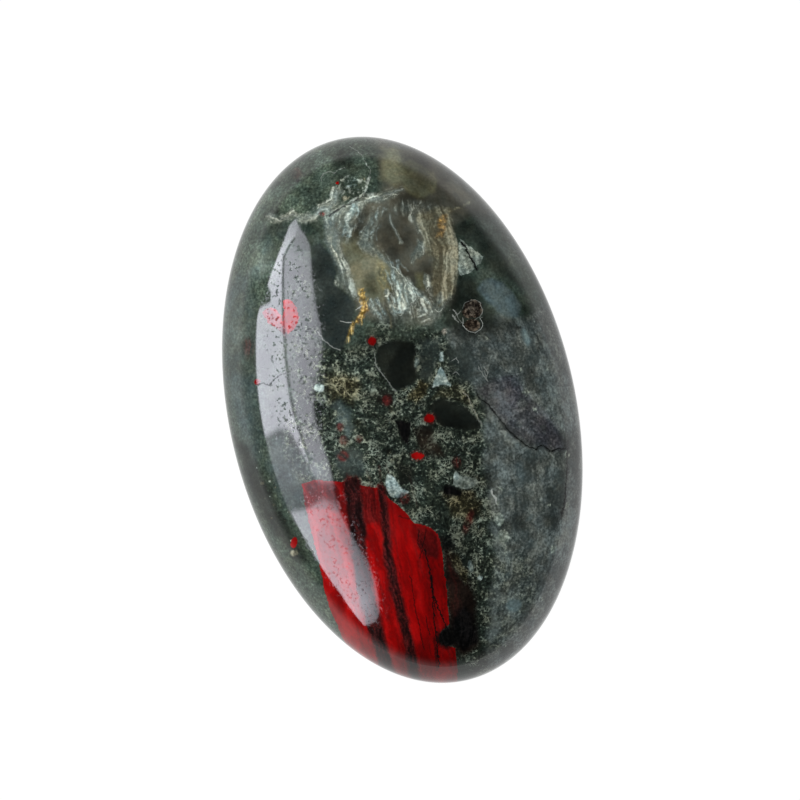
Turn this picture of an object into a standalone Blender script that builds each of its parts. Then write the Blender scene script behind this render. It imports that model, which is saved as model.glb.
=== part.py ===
"""An oval cabochon of bloodstone: one polished stone with a flat back.

The stone lies on its flat back on the XY plane. Its long axis runs along Y, its dome rises
along +Z, and its origin is the middle of the back. All sizes are in metres.
"""

import math

import bmesh
import bpy

# Driving sizes of the cut stone.
LENGTH = 0.0402
WIDTH = 0.0250
GIRDLE_TOP = 0.0011
DOME_HEIGHT = 0.0060
BACK_CHAMFER = 0.0004

# The dome is an ellipsoid's cap, filled out towards its two ends and ground down at its sides.
END_FULLNESS = 0.33
SIDE_FALL = 0.15

# How finely the faceted solid follows the curve.
SEGMENTS = 112
DOME_RINGS = 22
BACK_RINGS = 3
MERGE_DISTANCE = 1e-5

STONE_COLOUR = (0.045, 0.066, 0.055, 1.0)
STONE_ROUGHNESS = 0.08


def clear_scene():
    """Removes whatever the startup scene holds."""
    for obj in list(bpy.data.objects):
        bpy.data.objects.remove(obj)


def dome_height(across, along):
    """Height of the polished dome above the girdle.

    across and along are the place on the outline's two half axes, from -1 to 1.
    """
    inside = max(0.0, 1.0 - across**2 - along**2)
    fullness = 1.0 + END_FULLNESS * along**2 - SIDE_FALL * across**2
    return DOME_HEIGHT * math.sqrt(inside) * fullness


def half_profile():
    """The half section, from the back's middle to the dome's top.

    Each point is (share of the outline, height above the back), with the dome still flat.
    """
    chamfer_share = BACK_CHAMFER / (WIDTH / 2)
    back_edge = 1.0 - chamfer_share
    back = [(back_edge * ring / BACK_RINGS, 0.0) for ring in range(BACK_RINGS + 1)]
    wall = [(1.0, BACK_CHAMFER)]
    dome = []
    for ring in range(DOME_RINGS + 1):
        turn = math.pi / 2 * ring / DOME_RINGS
        dome.append((math.cos(turn), GIRDLE_TOP))
    return back + wall + dome


def spun_profile():
    """The half section turned about Z into a closed round form of radius 1."""
    mesh = bmesh.new()
    points = [mesh.verts.new((share, 0.0, height)) for share, height in half_profile()]
    edges = [mesh.edges.new(pair) for pair in zip(points, points[1:])]
    bmesh.ops.spin(
        mesh,
        geom=points + edges,
        cent=(0.0, 0.0, 0.0),
        axis=(0.0, 0.0, 1.0),
        angle=2 * math.pi,
        steps=SEGMENTS,
    )
    bmesh.ops.remove_doubles(mesh, verts=mesh.verts, dist=MERGE_DISTANCE)
    return mesh


def shape_stone(mesh):
    """Stretches the round form to the oval outline and raises its dome."""
    for vert in mesh.verts:
        across, along = vert.co.x, vert.co.y
        if vert.co.z >= GIRDLE_TOP - MERGE_DISTANCE:
            vert.co.z = GIRDLE_TOP + dome_height(across, along)
        vert.co.x = across * WIDTH / 2
        vert.co.y = along * LENGTH / 2
    bmesh.ops.recalc_face_normals(mesh, faces=mesh.faces)


def stone_material():
    """Dark green chalcedony with a high polish."""
    material = bpy.data.materials.new("polished_bloodstone")
    material.use_nodes = True
    surface = material.node_tree.nodes["Principled BSDF"]
    surface.inputs["Base Color"].default_value = STONE_COLOUR
    surface.inputs["Roughness"].default_value = STONE_ROUGHNESS
    surface.inputs["Metallic"].default_value = 0.0
    return material


def make_stone():
    """The whole stone, as one closed solid."""
    form = spun_profile()
    shape_stone(form)
    mesh = bpy.data.meshes.new("bloodstone")
    form.to_mesh(mesh)
    form.free()
    mesh.shade_smooth()
    mesh.set_sharp_from_angle(angle=math.radians(35))
    mesh.materials.append(stone_material())
    stone = bpy.data.objects.new("bloodstone", mesh)
    bpy.context.collection.objects.link(stone)
    return stone


def main():
    """Builds the part."""
    clear_scene()
    make_stone()


main()
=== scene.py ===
"""The looks of a polished oval bloodstone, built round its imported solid.

The stone is one closed piece. A round blank is made as a fine mesh, a Geometry Nodes tree cuts
it to the oval dome, and the minerals are then laid on its points one marking at a time. The
finish turns those minerals into colour, grain, gloss and hairlines.
"""

import logging
import math
from collections.abc import Iterator
from dataclasses import dataclass, field
from enum import Enum
from typing import Any, Protocol

import bpy
import numpy as np
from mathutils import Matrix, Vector


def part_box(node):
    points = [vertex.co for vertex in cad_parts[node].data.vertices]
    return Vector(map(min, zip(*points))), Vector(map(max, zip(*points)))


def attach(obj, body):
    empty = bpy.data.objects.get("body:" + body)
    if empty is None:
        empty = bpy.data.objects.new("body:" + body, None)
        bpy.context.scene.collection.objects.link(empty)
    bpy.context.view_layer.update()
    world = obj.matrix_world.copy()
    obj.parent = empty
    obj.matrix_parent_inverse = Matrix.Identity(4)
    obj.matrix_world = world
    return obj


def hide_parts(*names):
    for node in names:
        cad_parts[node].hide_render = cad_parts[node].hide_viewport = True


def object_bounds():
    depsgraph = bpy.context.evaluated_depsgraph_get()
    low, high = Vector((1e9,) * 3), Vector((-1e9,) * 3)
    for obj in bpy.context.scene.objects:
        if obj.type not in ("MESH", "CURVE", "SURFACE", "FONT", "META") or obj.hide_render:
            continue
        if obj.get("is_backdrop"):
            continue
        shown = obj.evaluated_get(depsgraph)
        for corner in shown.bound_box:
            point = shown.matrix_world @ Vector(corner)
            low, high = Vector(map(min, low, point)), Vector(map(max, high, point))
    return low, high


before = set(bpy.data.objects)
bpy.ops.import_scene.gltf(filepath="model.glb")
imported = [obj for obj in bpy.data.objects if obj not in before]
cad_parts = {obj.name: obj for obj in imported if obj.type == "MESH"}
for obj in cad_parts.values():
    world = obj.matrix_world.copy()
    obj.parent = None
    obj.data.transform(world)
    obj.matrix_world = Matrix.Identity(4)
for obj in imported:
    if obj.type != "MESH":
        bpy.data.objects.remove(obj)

Array = np.ndarray
Point = tuple[float, float]
Colour = tuple[float, float, float]
Curve = tuple[tuple[float, ...], tuple[float, ...]]
Socket = bpy.types.NodeSocket

log = logging.getLogger("bloodstone")
NODE = "bloodstone"
SLOT = "polished_bloodstone"
MM = 0.001
FAR_PX = 1e9
HAIR_REACH_PX = 6.0
HAIR_FADE_PX = (3.2, 2.4)
COMBED_FROM = 0.02
THIN_SEED = 50
THREAD_POINTS = 7
FULL_TURN = 6.28


class Mineral(Enum):
    """What the stone is made of, from the lowest layer to the one laid last."""

    MOSS = "moss"
    SMOKE = "smoke"
    OLIVE = "olive"
    MIST = "mist"
    PURPLE = "purple"
    TEAL = "teal"
    BRECCIA = "breccia"
    OCHRE = "ochre"
    SLATE = "slate"
    BLACK = "black"
    UMBER = "umber"
    SAGE = "sage"
    PLUME = "plume"
    ICE = "ice"
    TAN = "tan"
    RUST = "rust"
    GOLD = "gold"
    JASPER = "jasper"
    MAROON = "maroon"
    INK = "ink"
    METAL = "metal"
    PYRITE = "pyrite"


def smooth_step(low: float, high: float, values: Array) -> Array:
    """Values eased from 0 at low to 1 at high, which may be less than low."""
    share = np.clip((values - low) / (high - low), 0.0, 1.0)
    return share * share * (3.0 - 2.0 * share)


@dataclass(frozen=True)
class Noise:
    """Smooth noise that is the same at each run, in three dimensions."""

    seed: int

    def corner(self, cell: Array) -> Array:
        """A fixed random number for each cell. Any large odd multipliers would do.

        Args:
            cell: Whole numbers, one row of three for each point.

        Returns:
            One number from -1 to 1 for each row.
        """
        steps = cell.astype(np.int64)
        mixed = steps[:, 0] * 374761393 + steps[:, 1] * 668265263 + steps[:, 2] * 1103515245
        mixed = (mixed + self.seed * 362437) & 0xFFFFFFFF
        mixed = ((mixed ^ (mixed >> 13)) * 1274126177) & 0xFFFFFFFF
        mixed = ((mixed ^ (mixed >> 16)) * 2246822519) & 0xFFFFFFFF
        mixed = mixed ^ (mixed >> 15)
        return mixed / 2147483647.5 - 1.0

    def at(self, places: Array) -> Array:
        """Noise with features about one unit across.

        Args:
            places: One row of three coordinates for each point.

        Returns:
            One number from -1 to 1 for each row.
        """
        cell = np.floor(places)
        share = places - cell
        share = share * share * share * (share * (share * 6.0 - 15.0) + 10.0)
        total = np.zeros(len(places))
        for corner in np.ndindex(2, 2, 2):
            step = np.array(corner)
            weight = np.prod(np.where(step == 1, share, 1.0 - share), axis=1)
            total += weight * self.corner(cell + step)
        return total

    def fractal(self, places: Array, octaves: int = 3) -> Array:
        """Noise with finer noise laid over it.

        Args:
            places: One row of three coordinates for each point.
            octaves: How many sizes of noise are added, each half as large as the last.

        Returns:
            One number for each row, most of them from -1 to 1.
        """
        total = np.zeros(len(places))
        strength = 1.0
        for octave in range(octaves):
            total += strength * self.at(places * 2.0**octave + 17.3 * octave)
            strength *= 0.5
        return total / (2.0 - 2.0 ** (1 - octaves))


@dataclass(frozen=True)
class PhotoView:
    """Where the stone lies in the photograph, which looks straight down on it."""

    size_px: float = 800.0
    centre_px: Point = (402.3, 409.8)
    px_per_mm: float = 13.83
    lean_deg: float = 13.69
    camera_height: float = 0.40

    def pixels(self, places: Array, girdle: float) -> tuple[Array, Array]:
        """The photograph's pixel of each point of the stone.

        Args:
            places: Points of the stone in metres, one row each.
            girdle: Height of the outline, in metres.

        Returns:
            The pixels' x, to the right, and y, downwards.
        """
        lean = math.radians(self.lean_deg)
        nearer = self.camera_height / (self.camera_height - (places[:, 2] - girdle))
        scale = self.px_per_mm / MM * nearer
        right = scale * (math.cos(lean) * places[:, 0] - math.sin(lean) * places[:, 1])
        up = scale * (math.sin(lean) * places[:, 0] + math.cos(lean) * places[:, 1])
        return self.centre_px[0] + right, self.centre_px[1] - up

    def place(self, pixel: Point, height: float) -> Vector:
        """The point straight below the camera's view of a pixel, at one height.

        Args:
            pixel: The pixel's x and y.
            height: Height of the point above the floor, in metres.

        Returns:
            The point in metres.
        """
        lean = math.radians(self.lean_deg)
        right = (pixel[0] - self.centre_px[0]) / self.px_per_mm * MM
        up = (self.centre_px[1] - pixel[1]) / self.px_per_mm * MM
        across = math.cos(lean) * right + math.sin(lean) * up
        along = -math.sin(lean) * right + math.cos(lean) * up
        return Vector((across, along, height))


VIEW = PhotoView()


def read(rows: Any, what: str, wide: int = 1, kind: type = float) -> Array:
    """What each of a mesh's points, corners or faces holds.

    Args:
        rows: The points, corners or faces.
        what: The name of what they hold.
        wide: How many numbers each holds.
        kind: The type of the numbers.

    Returns:
        One number for each, or one row of them.
    """
    values = np.empty(len(rows) * wide, dtype=kind)
    rows.foreach_get(what, values)
    return values.reshape(-1, wide) if wide > 1 else values


class Graph:
    """Adds nodes to a tree and joins them, for shaders and Geometry Nodes alike."""

    def __init__(self, tree: bpy.types.NodeTree) -> None:
        """Keeps the tree that the nodes go in."""
        self.tree = tree

    def feed(self, socket: Socket, value: Any) -> None:
        """Links a socket to another one, or sets its value.

        Args:
            socket: The input that is fed.
            value: Another node's socket, or a plain value.
        """
        if isinstance(value, Socket):
            self.tree.links.new(value, socket)
        else:
            socket.default_value = value

    def add(self, kind: str, feeds: dict[Any, Any] | None = None, **settings: Any) -> bpy.types.Node:
        """Adds one node.

        Args:
            kind: The node's type.
            feeds: Values or sockets for its inputs, by name or number.
            settings: Values for its other properties.

        Returns:
            The node.
        """
        node = self.tree.nodes.new(kind)
        for name, value in settings.items():
            setattr(node, name, value)
        for name, value in (feeds or {}).items():
            self.feed(node.inputs[name], value)
        return node

    def math(self, operation: str, *values: Any, clamp: bool = False) -> Socket:
        """One sum on numbers or sockets, kept from 0 to 1 where it is clamped."""
        feeds = dict(enumerate(values))
        return self.add("ShaderNodeMath", feeds, operation=operation, use_clamp=clamp).outputs[0]

    def mix(self, share: Any, below: Any, above: Any, way: str = "MIX") -> Socket:
        """A share of one colour laid over another, in the way of a blend type."""
        feeds = {0: share, 6: below, 7: above}
        return self.add("ShaderNodeMix", feeds, data_type="RGBA", blend_type=way).outputs[2]

    def spread(self, value: Any, low: float, high: float) -> Socket:
        """A number eased from 0 at low to 1 at high."""
        feeds = {"Value": value, "From Min": low, "From Max": high}
        return self.add("ShaderNodeMapRange", feeds, interpolation_type="SMOOTHSTEP").outputs[0]

    def ramp(self, share: Any, tones: tuple[Colour, ...]) -> Socket:
        """A run of colours along a number.

        Args:
            share: The number, from 0 to 1.
            tones: The colours, evenly spaced from 0 to 1.

        Returns:
            The colour's socket.
        """
        node = self.add("ShaderNodeValToRGB", {0: share})
        points = node.color_ramp.elements
        while len(points) < len(tones):
            points.new(0.5)
        for place, colour in enumerate(tones):
            points[place].position = place / (len(tones) - 1)
            points[place].color = (*colour, 1.0)
        return node.outputs[0]


@dataclass(frozen=True)
class CutStone:
    """The cut stone's form: an oval cabochon with a flat back."""

    width: float
    length: float
    height: float
    girdle_top: float = 0.0011
    chamfer: float = 0.0004
    end_fullness: float = 0.33
    side_fall: float = 0.15
    back_cells: tuple[int, int] = (76, 121)
    finer_dome: int = 3
    wall_rings: int = 3
    even_spread: float = 0.76
    rim_power: float = 3.5
    wall_share: float = 0.015
    dome_half: Point = (0.335, 0.447)
    dome_middle: Point = (0.375, 0.5)
    back_half: Point = (0.115, 0.25)
    back_middle: Point = (0.875, 0.5)
    dome_level: float = 0.9999
    sharp_deg: float = 35.0
    arc_steps: int = 200
    facing_down: float = -0.9

    def disc(self, columns: int, rows: int) -> Array:
        """Points of a round disc that come from a grid.

        Args:
            columns: How many cells the grid has across.
            rows: How many cells the grid has along.

        Returns:
            One row of x and y for each point, on a disc of radius 1.
        """
        x, y = np.meshgrid(np.linspace(-1.0, 1.0, columns + 1), np.linspace(-1.0, 1.0, rows + 1))
        x, y = x.ravel(), y.ravel()
        wide = np.abs(x) >= np.abs(y)
        far = np.where(wide, x, y)
        near = np.where(wide, y, x)
        turn = np.divide(near, far, out=np.zeros_like(far), where=far != 0.0) * math.pi / 4
        reach = np.abs(far)
        share = self.even_spread * reach + (1.0 - self.even_spread) * reach**self.rim_power
        reach = np.sign(far) * np.sin(math.pi / 2 * share)
        first, second = reach * np.cos(turn), reach * np.sin(turn)
        return np.stack([np.where(wide, first, second), np.where(wide, second, first)], axis=1)

    @staticmethod
    def grid_faces(columns: int, rows: int, start: int) -> list[tuple[int, ...]]:
        """The four-sided faces of a grid whose points begin at an index."""
        corners = [start + j * (columns + 1) + i for j in range(rows) for i in range(columns)]
        return [(a, a + 1, a + columns + 2, a + columns + 1) for a in corners]

    @staticmethod
    def grid_rim(columns: int, rows: int, start: int) -> list[int]:
        """The outer points of a grid, anticlockwise from its first corner.

        Args:
            columns: How many cells the grid has across.
            rows: How many cells the grid has along.
            start: The index of its first point.

        Returns:
            The points' indices.
        """
        row = columns + 1
        bottom = [start + i for i in range(columns)]
        right = [start + j * row + columns for j in range(rows)]
        top = [start + rows * row + i for i in range(columns, 0, -1)]
        left = [start + j * row for j in range(rows, 0, -1)]
        return bottom + right + top + left

    def blank(self) -> bpy.types.Mesh:
        """A round blank of radius 1, with its height as a share of the girdle's.

        Returns:
            The blank, closed by a wall, a chamfer and a flat back.
        """
        dome_cells = [cells * self.finer_dome for cells in self.back_cells]
        top = self.disc(*dome_cells)
        places = [np.column_stack([top, np.ones(len(top))])]
        faces = self.grid_faces(*dome_cells, 0)
        upper = self.grid_rim(*dome_cells, 0)
        rim = top[upper]
        chamfer_share = self.chamfer / (self.width / 2)
        levels = np.linspace(1.0, self.chamfer / self.girdle_top, self.wall_rings)[1:]
        rings = [(1.0, level) for level in levels] + [(1.0 - chamfer_share, 0.0)]
        count = len(top)
        for share, level in rings:
            places.append(np.column_stack([rim * share, np.full(len(rim), level)]))
            lower = list(range(count, count + len(rim)))
            count += len(rim)
            pairs = zip(upper, upper[1:] + upper[:1], lower, lower[1:] + lower[:1])
            faces += [(a, c, d, b) for a, b, c, d in pairs]
            upper = lower
        back = self.disc(*self.back_cells) * (1.0 - 2.0 * chamfer_share)
        places.append(np.column_stack([back, np.zeros(len(back))]))
        faces += [face[::-1] for face in self.grid_faces(*self.back_cells, count)]
        faces += self.fan(upper, self.grid_rim(*self.back_cells, count))
        mesh = bpy.data.meshes.new("stone_blank")
        mesh.from_pydata(np.concatenate(places).tolist(), [], faces)
        return mesh

    @staticmethod
    def fan(outer: list[int], inner: list[int]) -> list[tuple[int, ...]]:
        """Triangles that join a fine ring to a coarser one inside it.

        Args:
            outer: Points of the fine ring.
            inner: Points of the coarse ring, a whole number of times fewer.

        Returns:
            The faces, seen from below.
        """
        each = len(outer) // len(inner)
        faces: list[tuple[int, ...]] = []
        for place, here in enumerate(inner):
            after = inner[(place + 1) % len(inner)]
            for step in range(each):
                first = outer[(place * each + step) % len(outer)]
                second = outer[(place * each + step + 1) % len(outer)]
                faces.append((second, first, here if step <= each // 2 else after))
                if step == each // 2:
                    faces.append((after, second, here))
        return faces

    def cutting_tree(self, material: bpy.types.Material) -> bpy.types.NodeTree:
        """The Geometry Nodes tree that cuts a round blank to the oval dome.

        Args:
            material: What the cut stone is made of.

        Returns:
            The tree, with an input for each size.
        """
        tree = bpy.data.node_groups.new("Cut cabochon", "GeometryNodeTree")
        tree.interface.new_socket("Stone", in_out="OUTPUT", socket_type="NodeSocketGeometry")
        tree.interface.new_socket("Blank", in_out="INPUT", socket_type="NodeSocketGeometry")
        for name in self.tree_sizes():
            tree.interface.new_socket(name, in_out="INPUT", socket_type="NodeSocketFloat")
        graph = Graph(tree)
        sizes = graph.add("NodeGroupInput").outputs
        place = graph.add("GeometryNodeInputPosition").outputs[0]
        x, y, z = graph.add("ShaderNodeSeparateXYZ", {0: place}).outputs
        across = graph.math("MULTIPLY", x, x)
        along = graph.math("MULTIPLY", y, y)
        outwards = graph.math("ADD", across, along)
        inside = graph.math("MAXIMUM", graph.math("SUBTRACT", 1.0, outwards), 0.0)
        ends = graph.math("MULTIPLY_ADD", along, sizes["End Fullness"], 1.0)
        sides = graph.math("MULTIPLY", across, sizes["Side Fall"])
        fullness = graph.math("SUBTRACT", ends, sides)
        rise = graph.math("MULTIPLY", graph.math("SQRT", inside), fullness)
        rise = graph.math("MULTIPLY", rise, sizes["Dome Height"])
        on_dome = graph.math("GREATER_THAN", z, self.dome_level)
        base = graph.math("MULTIPLY", z, sizes["Girdle Top"])
        height = graph.math("MULTIPLY_ADD", rise, on_dome, base)
        cut = graph.add("ShaderNodeCombineXYZ", {
            0: graph.math("MULTIPLY", x, sizes["Half Width"]),
            1: graph.math("MULTIPLY", y, sizes["Half Length"]),
            2: height,
        })
        moved = graph.add("GeometryNodeSetPosition", {"Geometry": sizes["Blank"], "Position": cut.outputs[0]})
        whole = graph.add("GeometryNodeRealizeInstances", {"Geometry": moved.outputs[0]})
        smooth = graph.add("GeometryNodeSetShadeSmooth", {"Geometry": whole.outputs[0]})
        made = graph.add("GeometryNodeSetMaterial", {"Geometry": smooth.outputs[0], "Material": material})
        graph.add("NodeGroupOutput", {0: made.outputs[0]})
        return tree

    def tree_sizes(self) -> dict[str, float]:
        """The tree's named inputs.

        Returns:
            The sizes by the input's name, in metres or as shares.
        """
        return {
            "Half Width": self.width / 2,
            "Half Length": self.length / 2,
            "Girdle Top": self.girdle_top,
            "Dome Height": self.height - self.girdle_top,
            "End Fullness": self.end_fullness,
            "Side Fall": self.side_fall,
        }

    def cut(self, material: bpy.types.Material) -> bpy.types.Object:
        """Cuts the blank to the finished form.

        Args:
            material: What the stone is made of.

        Returns:
            The stone as a plain mesh object, with no modifier left on it.
        """
        rough = bpy.data.objects.new("rough_blank", self.blank())
        bpy.context.collection.objects.link(rough)
        tree = self.cutting_tree(material)
        cutter = rough.modifiers.new("Cut cabochon", "NODES")
        cutter.node_group = tree
        sizes = self.tree_sizes()
        for socket in tree.interface.items_tree:
            if socket.in_out == "INPUT" and socket.name in sizes:
                cutter[socket.identifier] = sizes[socket.name]
        graph = bpy.context.evaluated_depsgraph_get()
        mesh = bpy.data.meshes.new_from_object(rough.evaluated_get(graph))
        mesh.name = "polished_stone"
        bpy.data.objects.remove(rough)
        stone = bpy.data.objects.new("polished_stone", mesh)
        bpy.context.collection.objects.link(stone)
        mesh.set_sharp_from_angle(angle=math.radians(self.sharp_deg))
        self.unroll(mesh)
        return stone

    def unroll(self, mesh: bpy.types.Mesh) -> None:
        """Lays the surface out flat in a UV map, the dome as one oval and the back as another.

        Args:
            mesh: The cut stone.
        """
        x, y, z = read(mesh.vertices, "co", 3).T
        x, y = x / (self.width / 2), y / (self.length / 2)
        reach = np.maximum(np.hypot(x, y), 1e-9)
        swing = np.linspace(0.0, math.pi / 2, self.arc_steps)
        climb = 2 * (self.height - self.girdle_top) / self.width
        pace = np.hypot(np.cos(swing), climb * np.sin(swing))
        passed = np.cumsum(pace) - pace[0]
        out = np.interp(np.arcsin(np.minimum(reach, 1.0)), swing, passed / passed[-1])
        wall = np.clip((self.girdle_top - z) / self.wall_share, 0.0, None)
        out = np.where(wall > 0.0, 1.0 + wall + np.maximum(1.0 - reach, 0.0), out)
        dome = np.column_stack([x, y]) * (out / reach)[:, None] * self.dome_half + self.dome_middle
        back = np.column_stack([x, y]) * self.back_half + self.back_middle
        corners = read(mesh.loops, "vertex_index", kind=np.int32)
        sides = read(mesh.polygons, "loop_total", kind=np.int32)
        flat = np.repeat(read(mesh.polygons, "normal", 3)[:, 2] < self.facing_down, sides)
        spots = np.where(flat[:, None], back[corners], dome[corners])
        layer = mesh.uv_layers.new(name="OFBake")
        layer.uv.foreach_set("vector", spots.astype(np.float32).ravel())


class Canvas:
    """The stone's points, and how much of each mineral lies at each of them."""

    drift_px = 16.0
    drift_mm = 3.2
    sway_mm = 0.7
    sway_size_mm = 2.6
    drift_top_mm = 1.3
    first_wear = 0.1
    no_hair = 9.0

    def __init__(self, places: Array, girdle: float) -> None:
        """Works out where each point is in the photograph.

        Args:
            places: The stone's points in metres, one row each.
            girdle: Height of the outline, in metres.
        """
        self.mm = places / MM
        x, y = VIEW.pixels(places, girdle)
        below = smooth_step(girdle / MM + self.drift_top_mm, 0.0, self.mm[:, 2])
        self.x = x + self.drift_px * below * Noise(71).fractal(self.mm / self.drift_mm, 2)
        self.y = y + self.drift_px * below * Noise(72).fractal(self.mm / self.drift_mm, 2)
        self.amounts = {mineral: np.zeros(len(places)) for mineral in Mineral}
        self.tone = np.zeros(len(places))
        self.groove = np.zeros(len(places))
        self.hair_gap = np.full(len(places), HAIR_REACH_PX)
        self.hair_side = np.full(len(places), self.no_hair)
        self.hairs = {kind: np.zeros(len(places)) for kind in ("dark_hair", "pale_hair", "cut_hair")}
        self.worn = np.full(len(places), self.first_wear)
        sway = self.mm / self.sway_size_mm
        self.along = self.mm[:, 1] + self.sway_mm * Noise(73).fractal(sway, 2)
        self.across = self.mm[:, 0] + self.sway_mm * Noise(74).fractal(sway, 2)

    def near(self, points: list[Point], margin: float) -> Array:
        """The indices of the stone's points in a box of the photograph.

        Args:
            points: Pixels that the box holds.
            margin: How far the box reaches past them, in pixels.

        Returns:
            The indices.
        """
        xs, ys = [p[0] for p in points], [p[1] for p in points]
        inside = (self.x > min(xs) - margin) & (self.x < max(xs) + margin)
        inside &= (self.y > min(ys) - margin) & (self.y < max(ys) + margin)
        return np.flatnonzero(inside)

    def inside(self, area: list[Point], soft: float) -> tuple[Array, Array]:
        """Where an outlined area lies.

        Args:
            area: Its outline.
            soft: How far its edge fades to each side, in pixels.

        Returns:
            The indices of the points near it, and how far inside each is, from 0 to 1.
        """
        at = self.near(area, soft)
        return at, smooth_step(soft, -soft, outline_distance(self.x[at], self.y[at], area))

    def rough(self, at: Array, seed: int, size_px: float, octaves: int = 3) -> Array:
        """Noise at some of the stone's points, with features of a size in pixels."""
        return Noise(seed).fractal(self.mm[at] * VIEW.px_per_mm / size_px, octaves)

    def thinned(self, cover: Array, at: Array, patchy: float, seed: int, size_px: float) -> Array:
        """A marking's cover, thinned here and there by noise.

        Args:
            cover: How much of each point it covers.
            at: The indices of the points.
            patchy: How far it is thinned. At 0 it stays whole.
            seed: The marking's seed.
            size_px: Size of the thin places, in pixels.

        Returns:
            The thinned cover.
        """
        if not patchy:
            return cover
        thin = self.rough(at, seed + THIN_SEED, size_px)
        return cover * np.clip(1.0 - patchy * (0.5 + thin), 0.0, 1.0)

    def lay(self, mineral: Mineral, at: Array, cover: Array) -> None:
        """Lays a mineral over what is there.

        Args:
            mineral: What is laid.
            at: The indices of the points.
            cover: How much of each point it covers, from 0 to 1.
        """
        order = list(Mineral)
        for other in order[order.index(mineral) + 1:]:
            self.amounts[other][at] *= 1.0 - cover
        kept = self.amounts[mineral][at]
        self.amounts[mineral][at] = 1.0 - (1.0 - kept) * (1.0 - cover)

    def comb(self, at: Array, guide: list[Point]) -> None:
        """Turns the stone's fibres to run along a guide line.

        Args:
            at: The indices of the points.
            guide: The line, which is taken on straight past its ends.
        """
        x, y = self.x[at], self.y[at]
        best = np.full(len(at), FAR_PX)
        passed = 0.0
        for place, ((ax, ay), (bx, by)) in enumerate(zip(guide, guide[1:])):
            run = math.hypot(bx - ax, by - ay)
            dx, dy = (bx - ax) / run, (by - ay) / run
            far = (x - ax) * dx + (y - ay) * dy
            first, last = place == 0, place == len(guide) - 2
            held = np.clip(far, -FAR_PX if first else 0.0, FAR_PX if last else run)
            side = (y - ay) * dx - (x - ax) * dy
            gap = np.hypot(far - held, side)
            closer = gap < best
            best = np.where(closer, gap, best)
            self.along[at] = np.where(closer, (passed + held) / VIEW.px_per_mm, self.along[at])
            self.across[at] = np.where(closer, np.sign(side) * gap / VIEW.px_per_mm, self.across[at])
            passed += run


class Marking(Protocol):
    """Anything that can be laid on the stone."""

    def paint(self, canvas: Canvas) -> None:
        """Lays the marking."""


def line_distance(x: Array, y: Array, points: list[Point]) -> tuple[Array, Array, Array]:
    """How far each place is from an open line.

    Args:
        x: The places' x.
        y: The places' y.
        points: The line's points.

    Returns:
        The distances, how far along the line the nearest point is, from 0 to 1, and its side.
    """
    best = np.full(len(x), FAR_PX)
    along = np.zeros(len(x))
    side = np.ones(len(x))
    pieces = len(points) - 1
    for place, ((ax, ay), (bx, by)) in enumerate(zip(points, points[1:])):
        run_x, run_y = bx - ax, by - ay
        square = max(run_x * run_x + run_y * run_y, 1e-9)
        share = np.clip(((x - ax) * run_x + (y - ay) * run_y) / square, 0.0, 1.0)
        gap = np.hypot(x - ax - share * run_x, y - ay - share * run_y)
        closer = gap < best
        best = np.where(closer, gap, best)
        along = np.where(closer, (place + share) / pieces, along)
        turned = (y - ay) * run_x - (x - ax) * run_y
        side = np.where(closer, np.where(turned < 0.0, -1.0, 1.0), side)
    return best, along, side


def outline_distance(x: Array, y: Array, points: list[Point]) -> Array:
    """How far each place is from a closed outline.

    Args:
        x: The places' x.
        y: The places' y.
        points: The outline's points.

    Returns:
        The distances, less than 0 inside the outline.
    """
    closed = [*points, points[0]]
    gap, _, _ = line_distance(x, y, closed)
    inside = np.zeros(len(x), dtype=bool)
    for (ax, ay), (bx, by) in zip(closed, closed[1:]):
        if ay == by:
            continue
        crosses = (ay > y) != (by > y)
        inside ^= crosses & (x < (bx - ax) * (y - ay) / (by - ay) + ax)
    return np.where(inside, -gap, gap)


def from_centre(x: Array, y: Array, centre: Point, turn_deg: float) -> tuple[Array, Array]:
    """How far each place is from a centre, across and down.

    Args:
        x: The places' x.
        y: The places' y.
        centre: The centre.
        turn_deg: How far the two directions are turned from the photograph's.

    Returns:
        The distances across and down.
    """
    turn = math.radians(turn_deg)
    dx, dy = x - centre[0], y - centre[1]
    return math.cos(turn) * dx + math.sin(turn) * dy, math.cos(turn) * dy - math.sin(turn) * dx


@dataclass(frozen=True)
class Patch:
    """An area of one mineral inside an outline."""

    mineral: Mineral
    outline: list[Point]
    soft: float = 4.0
    ragged: float = -1.0
    grain: float = 6.0
    strength: float = 1.0
    patchy: float = 0.0
    guide: list[Point] | None = None
    seed: int = 9
    ragged_share: float = 0.65
    thin_share: float = 0.6

    def paint(self, canvas: Canvas) -> None:
        """Lays the patch, with its edge and its thin places broken by noise.

        Args:
            canvas: The stone, which takes the marking.
        """
        ragged = self.ragged if self.ragged >= 0.0 else self.ragged_share * self.soft
        at = canvas.near(self.outline, self.soft + 2 * ragged)
        gap = outline_distance(canvas.x[at], canvas.y[at], self.outline)
        gap = gap + ragged * canvas.rough(at, self.seed, self.grain)
        cover = self.strength * smooth_step(self.soft, -self.soft, gap)
        cover = canvas.thinned(cover, at, self.patchy, self.seed, self.grain * self.thin_share)
        canvas.lay(self.mineral, at, cover)
        if self.guide:
            canvas.comb(at[cover > COMBED_FROM], self.guide)


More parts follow.
